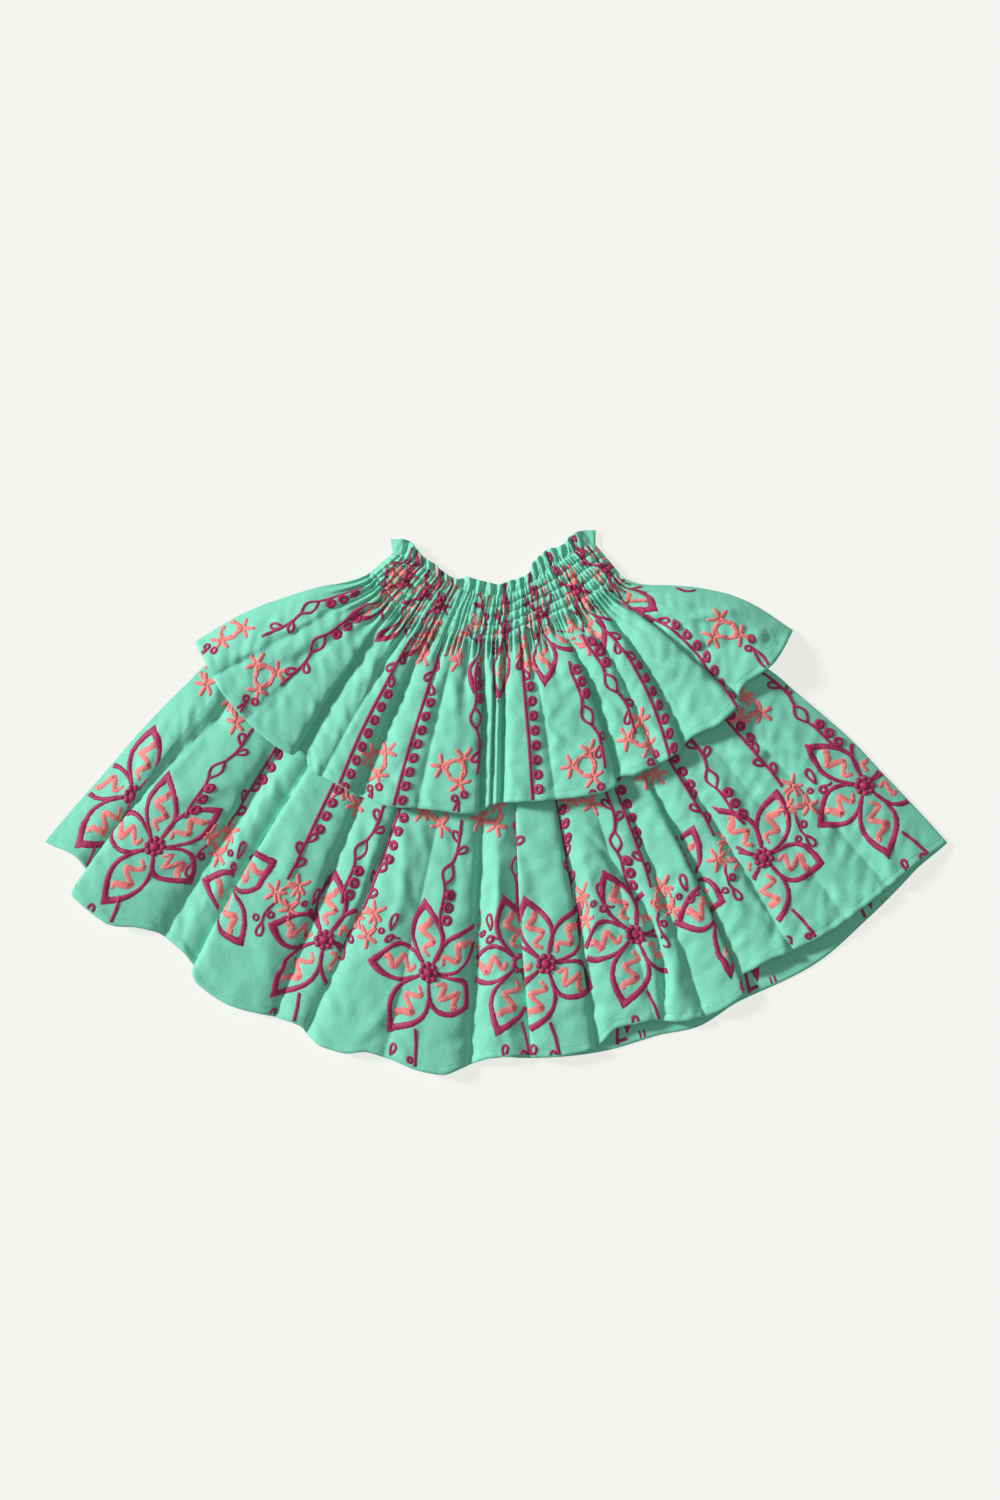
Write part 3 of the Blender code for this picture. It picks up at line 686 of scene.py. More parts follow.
back_lines = np.linspace(*SEAM_ENDS, 241)
back_upper_rows = np.concatenate([
    np.linspace(-2, -1, 6)[:-1], np.linspace(-1, 0, 31)[:-1], np.linspace(0, 1, 31),
])
back_upper_points = upper_back(back_lines[:, None], back_upper_rows[None, :])
back_upper = sheet_piece("upper_panel_back", back_upper_points, cloth_lengths(back_upper_points), MINT)
back_lower_rows = hem_rows(40, HEM_TURN / LOWER_LENGTH)
back_lower_points = lower_back(back_lines[:, None], back_lower_rows[None, :])
back_lower = sheet_piece(
    "lower_tier_back_sheet", back_lower_points, cloth_lengths(back_lower_points), MINT
)

# What each piece is

for piece, stands_for in (
    (upper_panel, ("heading_frill_front", "shirred_waist_front", "upper_tier_front")),
    (lower_panel, ("lower_tier_front",)),
    (back_upper, ("heading_frill_back", "shirred_waist_back", "upper_tier_back")),
    (back_lower, ("lower_tier_back",)),
):
    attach(piece, "root")
    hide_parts(*stands_for)


# Finding the way about on the cloth


RUFFLE_WAY = -1.9
UPPER_PANELS = (upper_front, upper_back)
PATCH_COLUMNS = 97
PAST_HEM = 300.0  # how far in mm a patch's table runs on past the hem


def first_way(panel):
    return RUFFLE_WAY if panel in UPPER_PANELS else 0


def spot(panel, bearing, reach):
    """The line and the way down at which a panel shows a bearing and a reach.

    The back's motifs all lie below the waist seam, so there the search starts at it.
    """
    line, ways = bearing, np.linspace(RUFFLE_WAY if panel is upper_front else 0, 1, 240)
    lines = np.linspace(*EDGE_LINES, 900)
    for _ in range(4):
        reaches = polar(panel(np.full_like(ways, line), ways))[1]
        way = np.interp(reach, reaches, ways)
        seen = polar(panel(lines, np.full_like(lines, way)))[0]
        line = lines[np.argmin(np.abs(seen - bearing))]
    return line, way


class Patch:
    """A stretch of flat cloth about a spot: x is in mm to the right of its line and y towards the waist.

    The table that it keeps turns x and y into a line and a way down, each row measured along its own
    folds, so that a motif is as wide on the folded cloth as it was on the flat. Where the cloth is
    gathered, squeeze says how much of its width is lost in gathers too small to follow.
    """

    def __init__(self, panel, line, way, half_width, low, high, flip=False, between=EDGE_LINES):
        self.panel, self.flip, self.half, self.between = panel, flip, half_width, between
        if flip:
            low, high = -high, -low
        ways = np.linspace(first_way(panel), 1, 300)
        reaches = polar(panel(np.full_like(ways, line), ways))[1]
        reaches = np.append(np.maximum.accumulate(reaches), reaches[-1] + PAST_HEM)
        length = (reaches[-2] - reaches[-60]) / (ways[-1] - ways[-60])
        ways = np.append(ways, 1 + PAST_HEM / length)
        middle = np.interp(way, ways, reaches)
        self.low, self.rows = low, int(np.ceil((high - low) / 5)) + 2
        self.step = (high - low) / (self.rows - 1)
        self.way = np.interp(middle - low - self.step * np.arange(self.rows), reaches, ways)
        spread = np.linspace(-1, 1, 241)
        self.lines = np.zeros((self.rows, PATCH_COLUMNS))
        grid = np.linspace(-half_width, half_width, PATCH_COLUMNS)
        for row, at in enumerate(self.way):
            reach = np.interp(at, ways, reaches)
            lines = line + spread * np.degrees(half_width / reach) * 1.5
            held = np.clip(lines, *EDGE_LINES)
            points = panel(held, np.full_like(held, min(at, 1.0)))
            lengths = np.linalg.norm(np.diff(points, axis=0), axis=1)
            outside = np.diff(held) == 0
            lengths[outside] = np.radians(np.diff(lines)[outside]) * reach
            along = np.concatenate([[0], np.cumsum(lengths)])
            along -= along[len(spread) // 2]
            squeeze = 1.0
            if panel in UPPER_PANELS:
                squeeze = 0.55 + 0.3 * ease(at / 0.16) + 0.15 * ease((at - 0.1) / 0.4)
            self.lines[row] = np.interp(grid * squeeze, along, lines)

    def find(self, x, y):
        if self.flip:
            y = -y
        r = (y - self.low) / self.step
        beyond = (r < 0) | (r > self.rows - 1)
        r = np.clip(r, 0, self.rows - 1.001)
        last = PATCH_COLUMNS - 1
        c = np.clip((x / self.half + 1) / 2 * last, 0, last - 0.001)
        r0, c0 = r.astype(int), c.astype(int)
        fr, fc = r - r0, c - c0
        top = self.lines[r0, c0] * (1 - fc) + self.lines[r0, c0 + 1] * fc
        foot = self.lines[r0 + 1, c0] * (1 - fc) + self.lines[r0 + 1, c0 + 1] * fc
        way = self.way[r0] * (1 - fr) + self.way[r0 + 1] * fr
        return top * (1 - fr) + foot * fr, np.where(beyond, 2.0, way)


def laid_on(lines, rows, points):
    """A panel as its mesh has it: straight from each of the grid's points to the next."""

    def surface(line, way):
        a = np.clip(np.searchsorted(lines, line) - 1, 0, len(lines) - 2)
        b = np.clip(np.searchsorted(rows, way) - 1, 0, len(rows) - 2)
        u = np.clip((line - lines[a]) / (lines[a + 1] - lines[a]), 0, 1)[:, None]
        v = np.clip((way - rows[b]) / (rows[b + 1] - rows[b]), 0, 1)[:, None]
        before = points[a, b] * (1 - u) + points[a + 1, b] * u
        after = points[a, b + 1] * (1 - u) + points[a + 1, b + 1] * u
        return before * (1 - v) + after * v

    return surface


SURFACES = {
    upper_front: laid_on(upper_lines, upper_rows, upper_points),
    lower_front: laid_on(lower_lines, lower_rows, lower_points),
    upper_back: laid_on(back_lines, back_upper_rows, back_upper_points),
    lower_back: laid_on(back_lines, back_lower_rows, back_lower_points),
}


def face_outwards(work):
    """Turns over each closed part whose faces look inwards."""
    left = set(work.faces)
    while left:
        part = [left.pop()]
        for face in part:
            near = {other for edge in face.edges for other in edge.link_faces} & left
            left -= near
            part.extend(near)
        middle = part[0].calc_center_median()
        inside = sum(
            (face.calc_center_median() - middle).dot(face.normal) * face.calc_area() for face in part
        )
        if inside < 0:
            bmesh.ops.reverse_faces(work, faces=part)


Stitch = namedtuple("Stitch", "pitch long wide height")
HEM_STITCH = Stitch(4.4, 3.2, 0.7, 0.35)
ELASTIC_STITCH = Stitch(2.6, 2.2, 0.8, 0.4)
CORNER_ROOM = 4.6  # mm on each side of a mitred corner without a section
SUNK = -0.5  # how far in mm a ribbon's edges lie below the cloth's face
UNDER_LIFT, UNDER_SUNK = 0.22, -0.3  # of the flat stitches on a lower face
HEM_EDGE = 0.997  # the way down at which stitches are cut off
DOMED = (-0.56, -0.43, 0.0, 0.43, 0.56)  # places across a ribbon, as shares of its width
FLAT_TOPPED = (-0.56, -0.36, 0.36, 0.56)
LINE_STEP, WAY_STEP = 0.12, 0.006  # half the stretch over which the cloth's slope is taken


class Thread:
    """Everything that is sewn in one colour of thread on one panel, gathered into one piece."""

    def __init__(self, panel, side=1, coarse=1.0):
        """Side is -1 on the cloth's lower face, where the stitches are drawn flat and coarse mm apart."""
        self.panel, self.side, self.coarse = panel, side, coarse
        self.draw = np.random.default_rng(GATHER_SEED)
        self.line, self.way, self.lift, self.faces, self.along, self.size = [], [], [], [], [], 0

    def add(self, line, way, lift, along, faces, between, each):
        """Adds points on the cloth, cut off square where they run off its edges or into a fold.

        Each is how many points make one section, so that a section stays or goes as a whole.
        """
        kept = (way < HEM_EDGE) & (line > between[0]) & (line < between[1])
        kept = kept.reshape(-1, each).all(axis=1).repeat(each)
        faces = faces[kept[faces].all(axis=1)]
        self.line.append(line)
        self.way.append(way)
        self.lift.append(lift)
        self.along.append(along)
        self.faces.append(faces + self.size)
        self.size += len(line)

    def ribbon(
        self, patch, path, widths, height,
        closed=False, jag=0.05, pitch=1.6, round_top=True, corner=None, rough=0.0,
    ):
        """A domed line of stitches along a path in mm, its width given at even places along it.

        At a corner, one of the path's own points, the ribbon is mitred. Rough is how far in mm the
        stitches' ends stray from its edges.
        """
        path = np.asarray(path, float)
        if closed:
            path = np.vstack([path, path[:1]])
        lengths = np.concatenate([[0], np.cumsum(np.linalg.norm(np.diff(path, axis=0), axis=1))])
        at = np.linspace(0, lengths[-1], max(int(round(lengths[-1] / self.coarse / pitch)), 3) + 1)
        if corner is not None:
            tip = lengths[corner]
            at = np.concatenate([at[at < tip - CORNER_ROOM], [tip], at[at > tip + CORNER_ROOM]])
        middle = np.stack([np.interp(at, lengths, path[:, n]) for n in (0, 1)], axis=1)
        if closed:
            middle, at = middle[:-1], at[:-1]
            ahead = np.roll(middle, -1, axis=0) - np.roll(middle, 1, axis=0)
        else:
            ahead = np.gradient(middle, axis=0)
        ahead /= np.maximum(np.linalg.norm(ahead, axis=1, keepdims=True), 1e-6)
        side = np.stack([-ahead[:, 1], ahead[:, 0]], axis=1)
        wide = np.interp(at / lengths[-1], np.linspace(0, 1, len(np.atleast_1d(widths))), widths)
        wide = wide * (1 + jag * (-1.0) ** np.arange(len(at)))
        if corner is not None:
            k = int(np.searchsorted(at, tip))
            before, after = middle[k] - middle[k - 1], middle[k + 1] - middle[k]
            cosine = np.dot(before, after) / np.linalg.norm(before) / np.linalg.norm(after)
            wide[k] = wide[k] * min(1 / np.sqrt(max((1 + cosine) / 2, 0.2)), 1.7)
        if round_top:
            across = np.array(DOMED)
            rise = np.array([SUNK, 0.75 * height, height, 0.75 * height, SUNK])
        else:
            across, rise = np.array(FLAT_TOPPED), np.array([SUNK, height, height, SUNK])
        shape = len(across)
        aside = across * wide[:, None]
        if rough:
            stray = self.draw.uniform(-rough, rough, (len(at), 2))
            aside = aside + np.where(across < 0, -stray[:, :1], stray[:, 1:]) * (across != 0)
        x = (middle[:, None, 0] + side[:, None, 0] * aside).ravel()
        y = (middle[:, None, 1] + side[:, None, 1] * aside).ravel()
        lift = rise[None, :] * np.ones((len(at), 1))
        if not closed:
            lift[[0, -1]] = np.minimum(lift[[0, -1]], 0.25 * height)
        line, way = patch.find(x, y)
        start = np.arange(len(at) if closed else len(at) - 1)
        following = (start + 1) % len(at)
        cells = []
        for n in range(shape):
            m = (n + 1) % shape
            cells.append(np.stack([
                start * shape + n, start * shape + m, following * shape + m, following * shape + n,
            ], axis=1))
        faces = np.concatenate(cells)
        if not patch.flip:
            faces = faces[:, ::-1]
        uv = np.stack([np.repeat(at, shape), aside.ravel()], axis=1)
        self.add(line, way, lift.ravel(), uv, faces, patch.between, shape)

    def stitches(self, way, stitch):
        """A row of short stitches along the cloth at one way down."""
        lines = np.linspace(*EDGE_LINES, 1600)
        points = self.panel(lines, np.full_like(lines, way))
        along = np.concatenate([[0], np.cumsum(np.linalg.norm(np.diff(points, axis=0), axis=1))])
        starts = np.arange(stitch.pitch / 2, along[-1] - stitch.pitch, stitch.pitch)
        near = np.array([way - 0.02, way])
        per_way = np.abs(np.diff(polar(self.panel(np.zeros(2), near))[1])[0]) / 0.02
        half = stitch.wide / 2 / per_way
        for start in starts:
            at = start + stitch.long * np.array([0.0, 0.25, 0.75, 1.0])
            line = np.repeat(np.interp(at, along, lines), 3)
            ways = way + np.tile([-half, 0.0, half], 4)
            lift = (np.array([[-0.1], [1.0], [1.0], [-0.1]]) * [0.1, 1.0, 0.1]).ravel() * stitch.height
            lift = np.where(np.tile([1, 0, 1], 4) == 1, -0.2, lift)
            cells = []
            for row in range(3):
                for n in range(3):
                    m = (n + 1) % 3
                    cells.append([row * 3 + n, row * 3 + m, row * 3 + 3 + m, row * 3 + 3 + n])
            uv = np.stack([np.repeat(at, 3), np.tile([-half, 0.0, half], 4)], axis=1)
            self.add(line, ways, lift, uv, np.array(cells), EDGE_LINES, 12)

    def piece(self, name, material):
        line, way = np.concatenate(self.line), np.concatenate(self.way)
        lift, uv = np.concatenate(self.lift), np.concatenate(self.along)
        faces = np.concatenate(self.faces)
        used = np.unique(faces)
        fresh = np.zeros(self.size, int)
        fresh[used] = np.arange(len(used))
        line, way, lift, uv, faces = line[used], way[used], lift[used], uv[used], fresh[faces]
        surface = SURFACES[self.panel]
        here = surface(line, way)
        beside = surface(line + LINE_STEP, way) - surface(line - LINE_STEP, way)
        further = surface(line, way + WAY_STEP) - surface(line, way - WAY_STEP)
        normal = np.cross(further, beside)
        normal /= np.maximum(np.linalg.norm(normal, axis=1, keepdims=True), 1e-9)
        normal[normal[:, 2] < 0] *= -1
        if self.side < 0:
            lift = -(POPLIN + np.where(lift > 0, UNDER_LIFT, UNDER_SUNK))
        points = (here + normal * lift[:, None]) * MM
        mesh = bpy.data.meshes.new(name)
        mesh.vertices.add(len(points))
        mesh.vertices.foreach_set("co", points.astype(np.float32).ravel())
        mesh.loops.add(faces.size)
        mesh.loops.foreach_set("vertex_index", faces.astype(np.int32).ravel())
        mesh.polygons.add(len(faces))
        mesh.polygons.foreach_set("loop_start", np.arange(0, faces.size, 4, dtype=np.int32))
        layer = mesh.uv_layers.new(name="stitch_mm")
        layer.data.foreach_set("uv", uv[faces.ravel()].astype(np.float32).ravel())
        mesh.update(calc_edges=True)
        mesh.validate()
        work = bmesh.new()
        work.from_mesh(mesh)
        bmesh.ops.holes_fill(work, edges=[edge for edge in work.edges if edge.is_boundary], sides=0)
        bmesh.ops.recalc_face_normals(work, faces=work.faces)
        face_outwards(work)
        work.to_mesh(mesh)
        work.free()
        mesh.materials.append(material)
        mesh.shade_smooth()
        made = bpy.data.objects.new(name, mesh)
        bpy.context.scene.collection.objects.link(made)
        return made


# The stitched motifs

# A petal of the generic five-petalled flower: its turn, length, greatest width and its tip's bend
Petal = namedtuple("Petal", "turn long wide bend")
PETALS = (
    Petal(100, 73, 35, 4), Petal(176, 66, 40, 5), Petal(250, 80, 40, -5), Petal(318, 64, 40, 5),
    Petal(40, 72, 37, 5),
)
OUTLINE_WIDTHS = (3.4, 4.4, 5.4, 6.6, 8.0, 6.8, 5.6, 4.6, 3.4)
CORAL_WIDTHS = (4.5, 6.2, 6.6, 7.6, 8.8, 5.5)
# A star's arm: how far it strays from an even fifth of a turn, and its length
Arm = namedtuple("Arm", "stray long")
ARMS = (Arm(5, 14.5), Arm(-4, 13.0), Arm(3, 14.0), Arm(-6, 12.6), Arm(2, 13.8))
STAR_WIDTHS = (3.4, 4.6, 4.8, 3.6)
STAR_TURNS = (186, 66, -62)
STARS_APART = 15.6
BEADS_APART = 16.0
FIRST_BEAD = 60.0
STEM_FOOT = -104  # where a flower's stem ends, in mm from its middle


def round_way(count):
    """Even turns round a circle, in radians."""
    return np.linspace(0, 2 * np.pi, count + 1)[:-1]


def petal_half(petal, u):
    """Half a petal's width at u of its length: a rounded base and a pointed tip."""
    return petal.wide / 2 * np.sin(np.pi * u**1.1)


def petal_lines(petal, turn):
    """A petal's outline, out to its tip and back, and the zigzag of coral ribbon within it."""
    u = np.linspace(0.13, 1, 21)
    bend, half = petal.bend * u**2, petal_half(petal, u)
    out, back = (np.stack([u * petal.long, bend + side * half], axis=1) for side in (1, -1))
    outline = np.vstack([out, back[-2::-1]])
    v = np.linspace(0.24, 0.8, 40)
    zigzag = np.arcsin(0.94 * np.sin(2 * np.pi * (3.5 * v + 0.1))) / 1.23
    coral = np.stack([v * petal.long, petal.bend * v**2 + 0.44 * petal_half(petal, v) * zigzag], axis=1)
    return turned(outline, petal.turn + turn), turned(coral, petal.turn + turn), len(u) - 1


def smooth_path(points, each=8):
    """A soft curve through a few points."""
    points = np.asarray(points, float)
    ends = np.vstack([2 * points[0] - points[1], points, 2 * points[-1] - points[-2]])
    u = (np.arange(each) / each)[:, None]
    parts = []
    for a, b, c, d in zip(ends[:-3], ends[1:-2], ends[2:-1], ends[3:]):
        parts.append(
            0.5 * (2 * b + (c - a) * u + (2 * a - 5 * b + 4 * c - d) * u**2 + (3 * b - a - 3 * c + d) * u**3)
        )
    return np.vstack(parts + [points[-1:]])


def turned(points, degrees, at=(0, 0)):
    angle = np.radians(degrees)
    points = np.asarray(points, float)
    x = points[:, 0] * np.cos(angle) - points[:, 1] * np.sin(angle)
    y = points[:, 0] * np.sin(angle) + points[:, 1] * np.cos(angle)
    return np.stack([x + at[0], y + at[1]], axis=1)


def ring(thread, patch, x, y, outer, hole, height=1.3):
    turn = round_way(16)
    radius = (outer + hole) / 4
    path = np.stack([x + radius * np.cos(turn), y + radius * np.sin(turn)], axis=1)
    wall = (outer - hole) / 2
    thread.ribbon(patch, path, [wall * 0.95] * 2, height, closed=True, jag=0, pitch=max(radius * 0.45, 1.0))


def drop(thread, patch, x, y, turn, long, wide, thick=3.2):
    """A loop of thread shaped like a teardrop, its point at x, y."""
    u = round_way(20)
    away = long * (0.5 - 0.5 * np.cos(u))
    aside = wide / 2 * np.sin(u) * (0.5 - 0.5 * np.cos(u)) ** 0.6
    thread.ribbon(
        patch, turned(np.stack([away, aside], axis=1), turn, (x, y)), [thick] * 2, 1.1, closed=True, jag=0
    )


def knot(thread, patch, x, y, across, height):
    """A solid knot of thread, domed."""
    count = 10
    turn = round_way(count)
    share = np.array([[0.2], [0.72], [1.0]]) * across / 2
    lift = (np.array([[1.0], [0.7], [0.0]]) * height + [[0.0], [0.0], [-0.4]]) * np.ones(count)
    line, way = patch.find((x + share * np.cos(turn)).ravel(), (y + share * np.sin(turn)).ravel())
    n = np.arange(count)
    m = (n + 1) % count
    faces = np.concatenate([
        np.stack([row + n, row + m, row + count + m, row + count + n], axis=1) for row in (0, count)
    ])
    uv = np.stack([(share + 0 * turn).ravel(), np.tile(turn * across / 2, 3)], axis=1)
    thread.add(line, way, lift.ravel(), uv, faces, patch.between, 3 * count)


def flower(magenta, coral, patch, turn=0):
    for petal in PETALS:
        outline, ribbon, tip = petal_lines(petal, turn)
        magenta.ribbon(patch, outline, OUTLINE_WIDTHS, 0.9, jag=0.06, corner=tip, rough=0.35)
        coral.ribbon(patch, ribbon, CORAL_WIDTHS, 0.42, jag=0.1, pitch=1.9, round_top=False, rough=0.55)
    for n in range(8):
        angle = np.radians(45 * n + 10 + turn)
        knot(magenta, patch, 8.6 * np.cos(angle), 8.6 * np.sin(angle), 7.8, 2.4)
    knot(magenta, patch, 0, 0, 12.0, 3.0)


def flower_stem(magenta, patch):
    """The stem from the lowest petal to the hem, with the cut-off ends of the border's next row."""
    path = [(-4, -64), (0, -80), (3, STEM_FOOT)]
    magenta.ribbon(patch, path, (4.0, 4.0, 4.2), 1.0, jag=0.04, round_top=False)
    drop(magenta, patch, -27, STEM_FOOT + 2, 78, 13, 8)
    ring(magenta, patch, -4, STEM_FOOT + 5, 9, 2)


def star(coral, patch, x, y, turn):
    for n, arm in enumerate(ARMS):
        path = [(0.6, 0), (arm.long * 0.5, 0), (arm.long, 0)]
        path = turned(path, turn + 72 * n + arm.stray, (x, y))
        coral.ribbon(patch, path, STAR_WIDTHS, 0.9, jag=0.05, pitch=2.0)


def star_cluster(coral, patch, x=0, y=0, turn=0):
    """Three stars round a ring."""
    for n, angle in enumerate(np.radians(STAR_TURNS)):
        right, up = STARS_APART * np.cos(angle), STARS_APART * np.sin(angle)
        star(coral, patch, x + right, y + up, turn + 90 + 22 * n)
    u = round_way(24)
    path = np.stack([x + 0.5 + 10.5 * np.cos(u), y + 0.5 + 10.5 * np.sin(u)], axis=1)
    coral.ribbon(patch, path, (3.8, 3.8), 0.8, closed=True, jag=0.04)


def cluster_sprays(magenta, patch):
    """The magenta loops that hang on a low cluster of stars, and the one that joins the flower."""
    ring(magenta, patch, 19.7, -3.1, 8.5, 2)
    ring(magenta, patch, 31.0, -11.5, 11, 3)
    drop(magenta, patch, 30.0, -1.5, 92, 18, 9.5)
    magenta.ribbon(patch, smooth_path([(35, -9), (39, -12), (44, -12)]), (2.8, 2.8), 1.0, round_top=False)
    path = smooth_path([(-11, -12), (-15, -20), (-17, -30), (-16, -38)])
    magenta.ribbon(patch, path, (3.2, 3.0), 1.0, round_top=False)
    ring(magenta, patch, -10.5, -26, 10, 3)
    ring(magenta, patch, -24.5, -35.5, 9, 3)
    drop(magenta, patch, -16, -37, -84, 15, 10)


def stem(magenta, patch, path, width=3.6, height=1.05, pitch=1.6):
    """A flat-topped stem of one width."""
    magenta.ribbon(patch, path, (width, width), height, jag=0.03, pitch=pitch, round_top=False)


def beads(magenta, patch, first, last):
    """Ringed beads up the right of a stem."""
    for y in np.arange(first, last, BEADS_APART):
        ring(magenta, patch, 7.6, y, 12.0, 2.2, 1.7)


def teardrops(magenta, patch, first, step):
    """Three teardrops on a stem, to its right and left by turns."""
    for n, (x, turn) in enumerate(((1, 62), (-1, 118), (1, 62))):
        drop(magenta, patch, x, first + n * step, turn, 12.5, 9, 3.5)


def bead_stem(magenta, patch, top):
    """The stem over a low cluster: three teardrops, then a row of ringed beads."""
    stem(magenta, patch, [(-1.5, -4), (0, 16), (0, top)], pitch=2.4)
    teardrops(magenta, patch, 12, 15)
    beads(magenta, patch, FIRST_BEAD, top - 4)


def ring_vine(magenta, patch):
    """The curved vine over a flower: three rings, a lens, and a teardrop on each side."""
    stem(magenta, patch, smooth_path([(2, -12), (-1.2, 2), (-0.6, 16), (0, 30), (-1.5, 38)]))
    for y, hole in ((0, 3.4), (14, 2.8), (28, 0.4)):
        ring(magenta, patch, 6.4 + y * 0.01, y, 13, hole, 1.7)
    u = np.linspace(0, np.pi, 13)
    bow = np.concatenate([6.2 * np.sin(u) ** 1.2, -6.2 * np.sin(u[-2:0:-1]) ** 1.2])
    rise = np.concatenate([u, u[-2:0:-1]]) / np.pi * 25
    lens = turned(np.stack([bow, rise], axis=1), -10, (-1.5, 38))
    magenta.ribbon(patch, lens, (3.3, 3.3), 1.0, closed=True, jag=0.03, round_top=False)
    stem(magenta, patch, smooth_path([(3, 62), (7, 74), (8, 88), (7, 112)]))
    drop(magenta, patch, 7, 74, 36, 13, 9, 3.2)
    drop(magenta, patch, 8, 86, 122, 14, 9, 3.2)


# Where the motifs lie: bearing and reach of each

# Each is cut off where the cloth goes under a fold, so first and last are the lines that it lies between
Place = namedtuple("Place", "bearing reach first last turn", defaults=(EDGE_LINES[0], EDGE_LINES[1], 0))
LOWER_FLOWERS = (
    Place(-50.9, 520, last=-55.8, turn=9), Place(-44.7, 539, first=-56.2, turn=12),
    Place(-32.7, 532, -47, -36.8, 14), Place(-35.0, 514, -36.4, -29, 4),
    Place(-21.7, 522, last=-17), Place(-8.6, 527, -15, -3.4), Place(2.6, 512, -3.4, 3.0),
    Place(5.8, 514, first=3.0, last=12.5), Place(17.3, 502, first=11, last=20.4),
    Place(28.1, 486, first=22, last=28.0), Place(26.0, 486, first=28.0, last=33.4),
    Place(36.3, 490, first=33.6), Place(51.9, 511),
)
LOWER_CLUSTERS = (
    Place(-39.4, 486, first=-46, last=-36.8), Place(-28.0, 495), Place(-17.5, 489, first=-17.4),
    Place(-3.9, 482, first=-3.4), Place(11.1, 462, first=10.8), Place(22.1, 476, first=20.6),
    Place(32.9, 464, last=33.4), Place(44.6, 464),
)
LOWER_STEMS = (
    Place(-39.7, 464), Place(-29.0, 475), Place(-18.2, 473), Place(10.4, 443), Place(21.4, 455),
    Place(32.6, 436), Place(44.7, 440),
)
LOWER_VINES = (
    Place(-51.7, 468, last=-55.8), Place(-44.9, 482), Place(-21.6, 466), Place(-8.0, 467), Place(2.4, 455),
    Place(18.4, 448), Place(36.8, 436), Place(53.6, 457),
)
LOWER_TOP_STARS = (
    Place(-57.8, 383), Place(-49.8, 381), Place(-25.2, 373), Place(-10.3, 365), Place(-0.7, 360),
    Place(16.7, 351), Place(29.4, 349), Place(50.5, 372),
)
UPPER_FLOWERS = (
    Place(-49.0, 138, -59, -44), Place(-38.5, 132, -43.4, -34), Place(-29.5, 134, -33, -24.5),
    Place(-5.2, 138, -15, -5.8), Place(2.6, 146, -4, 4.6), Place(18.8, 136, 10.5, 26.5),
    Place(39.0, 132, 31, 43.4), Place(56.0, 140, 47),
)
UPPER_VINES = (
    Place(-57.6, 190), Place(-51.0, 205), Place(-7.6, 193), Place(22.6, 206), Place(31.0, 186, 26.9, 35.6),
    Place(60.5, 180),
)
UPPER_STEMS = (
    Place(-30.6, 300), Place(-20.0, 290), Place(6.8, 262), Place(23.2, 275, first=26.9), Place(36.0, 290),
    Place(51.0, 290),
)
UPPER_CLUSTERS = (
    Place(-64.0, 330), Place(-53.0, 324), Place(-25.0, 318), Place(-9.3, 302, last=-6.2),
    Place(17.8, 308, last=26.5), Place(30.7, 302, first=26.9), Place(59.8, 287),
)
WAIST_CLUSTERS = (
    Place(-52.0, 142), Place(-27.0, 178, -32, -23), Place(-16.0, 170, -23, -13), Place(9.4, 172, 5.5, 13.5),
    Place(29.0, 172, 26.9, 32), Place(41.0, 132),
)
# Where the back tier's inside shows at the hem
REVERSE_ENDS = (Place(12.9, 602), Place(27.6, 598), Place(41.8, 606))
# The hidden back carries the same border, spread evenly
BACK_REPEATS = (-42.0, -24.5, -7.5, 9.5, 27.0, 44.5)
BACK_UPPER_REPEATS = (-50.0, -28.0, -7.0, 14.0, 35.0, 54.0)
# Stems that run up to the ruffle's edge
WAIST_STEMS = (
    Place(-55.0, 112), Place(-36.0, 112), Place(2.0, 109), Place(18.4, 106), Place(37.0, 98),
    Place(56.0, 104),
)


def rayon(name, painted_shade, light, roughness):
    """Twisted rayon embroidery thread: silky, with each stitch painted as a lighter line across the ribbon
    (painted highlight) and darker between stitches (painted shade).
    """
    material, shader = new_material(name)
    shader.inputs["Roughness"].default_value = roughness
    shader.inputs["Specular IOR Level"].default_value = 0.45
    shader.inputs["Sheen Weight"].default_value = 0.15
    stitch = node(material, "ShaderNodeUVMap", {"uv_map": "stitch_mm"})
    # Threads are 0.4 mm wide and lie in stitches drawn 2 mm apart, so that they show from above
    rows = node(
        material, "ShaderNodeTexWave", {"wave_type": "BANDS", "bands_direction": "X"},
        Vector=stitch.outputs["UV"], Scale=0.157, Distortion=0.6, Detail=1.0,
    )
    # Painted highlight and shade: the bands run from a shaded copy of the thread's colour between stitches
    # to a lit copy across each stitch
    tint = node(
        material, "ShaderNodeMixRGB", {"blend_type": "MIX"},
        Fac=rows.outputs["Fac"], Color1=linear(painted_shade), Color2=linear(light),
    )
    material.node_tree.links.new(tint.outputs["Color"], shader.inputs["Base Color"])
    raised = node(
        material, "ShaderNodeBump", None, Strength=0.6, Distance=0.0004, Height=rows.outputs["Fac"],
    )
    material.node_tree.links.new(raised.outputs["Normal"], shader.inputs["Normal"])
    return material


# Each thread's first colour is its painted shade between stitches, its second the painted highlight on each
# stitch
MAGENTA = rayon("embroidery_thread_magenta", "#93184D", "#C62A68", 0.5)
CORAL = rayon("embroidery_thread_coral", "#F07472", "#FF9A96", 0.55)
SEWING = rayon("sewing_thread_mint", "#4FAE90", "#6BCBAC", 0.6)

# The stretch of flat cloth that a motif takes: half its width, its foot and its top in mm
Stretch = namedtuple("Stretch", "half low high")
FLOWER = Stretch(95, -130, 95)
CLUSTER = Stretch(70, -70, 60)
STARS = Stretch(60, -60, 60)
VINE = Stretch(60, -40, 130)
UPPER_FLOWER = Stretch(110, -34, 110)
ENDS = Stretch(60, -40, 60)


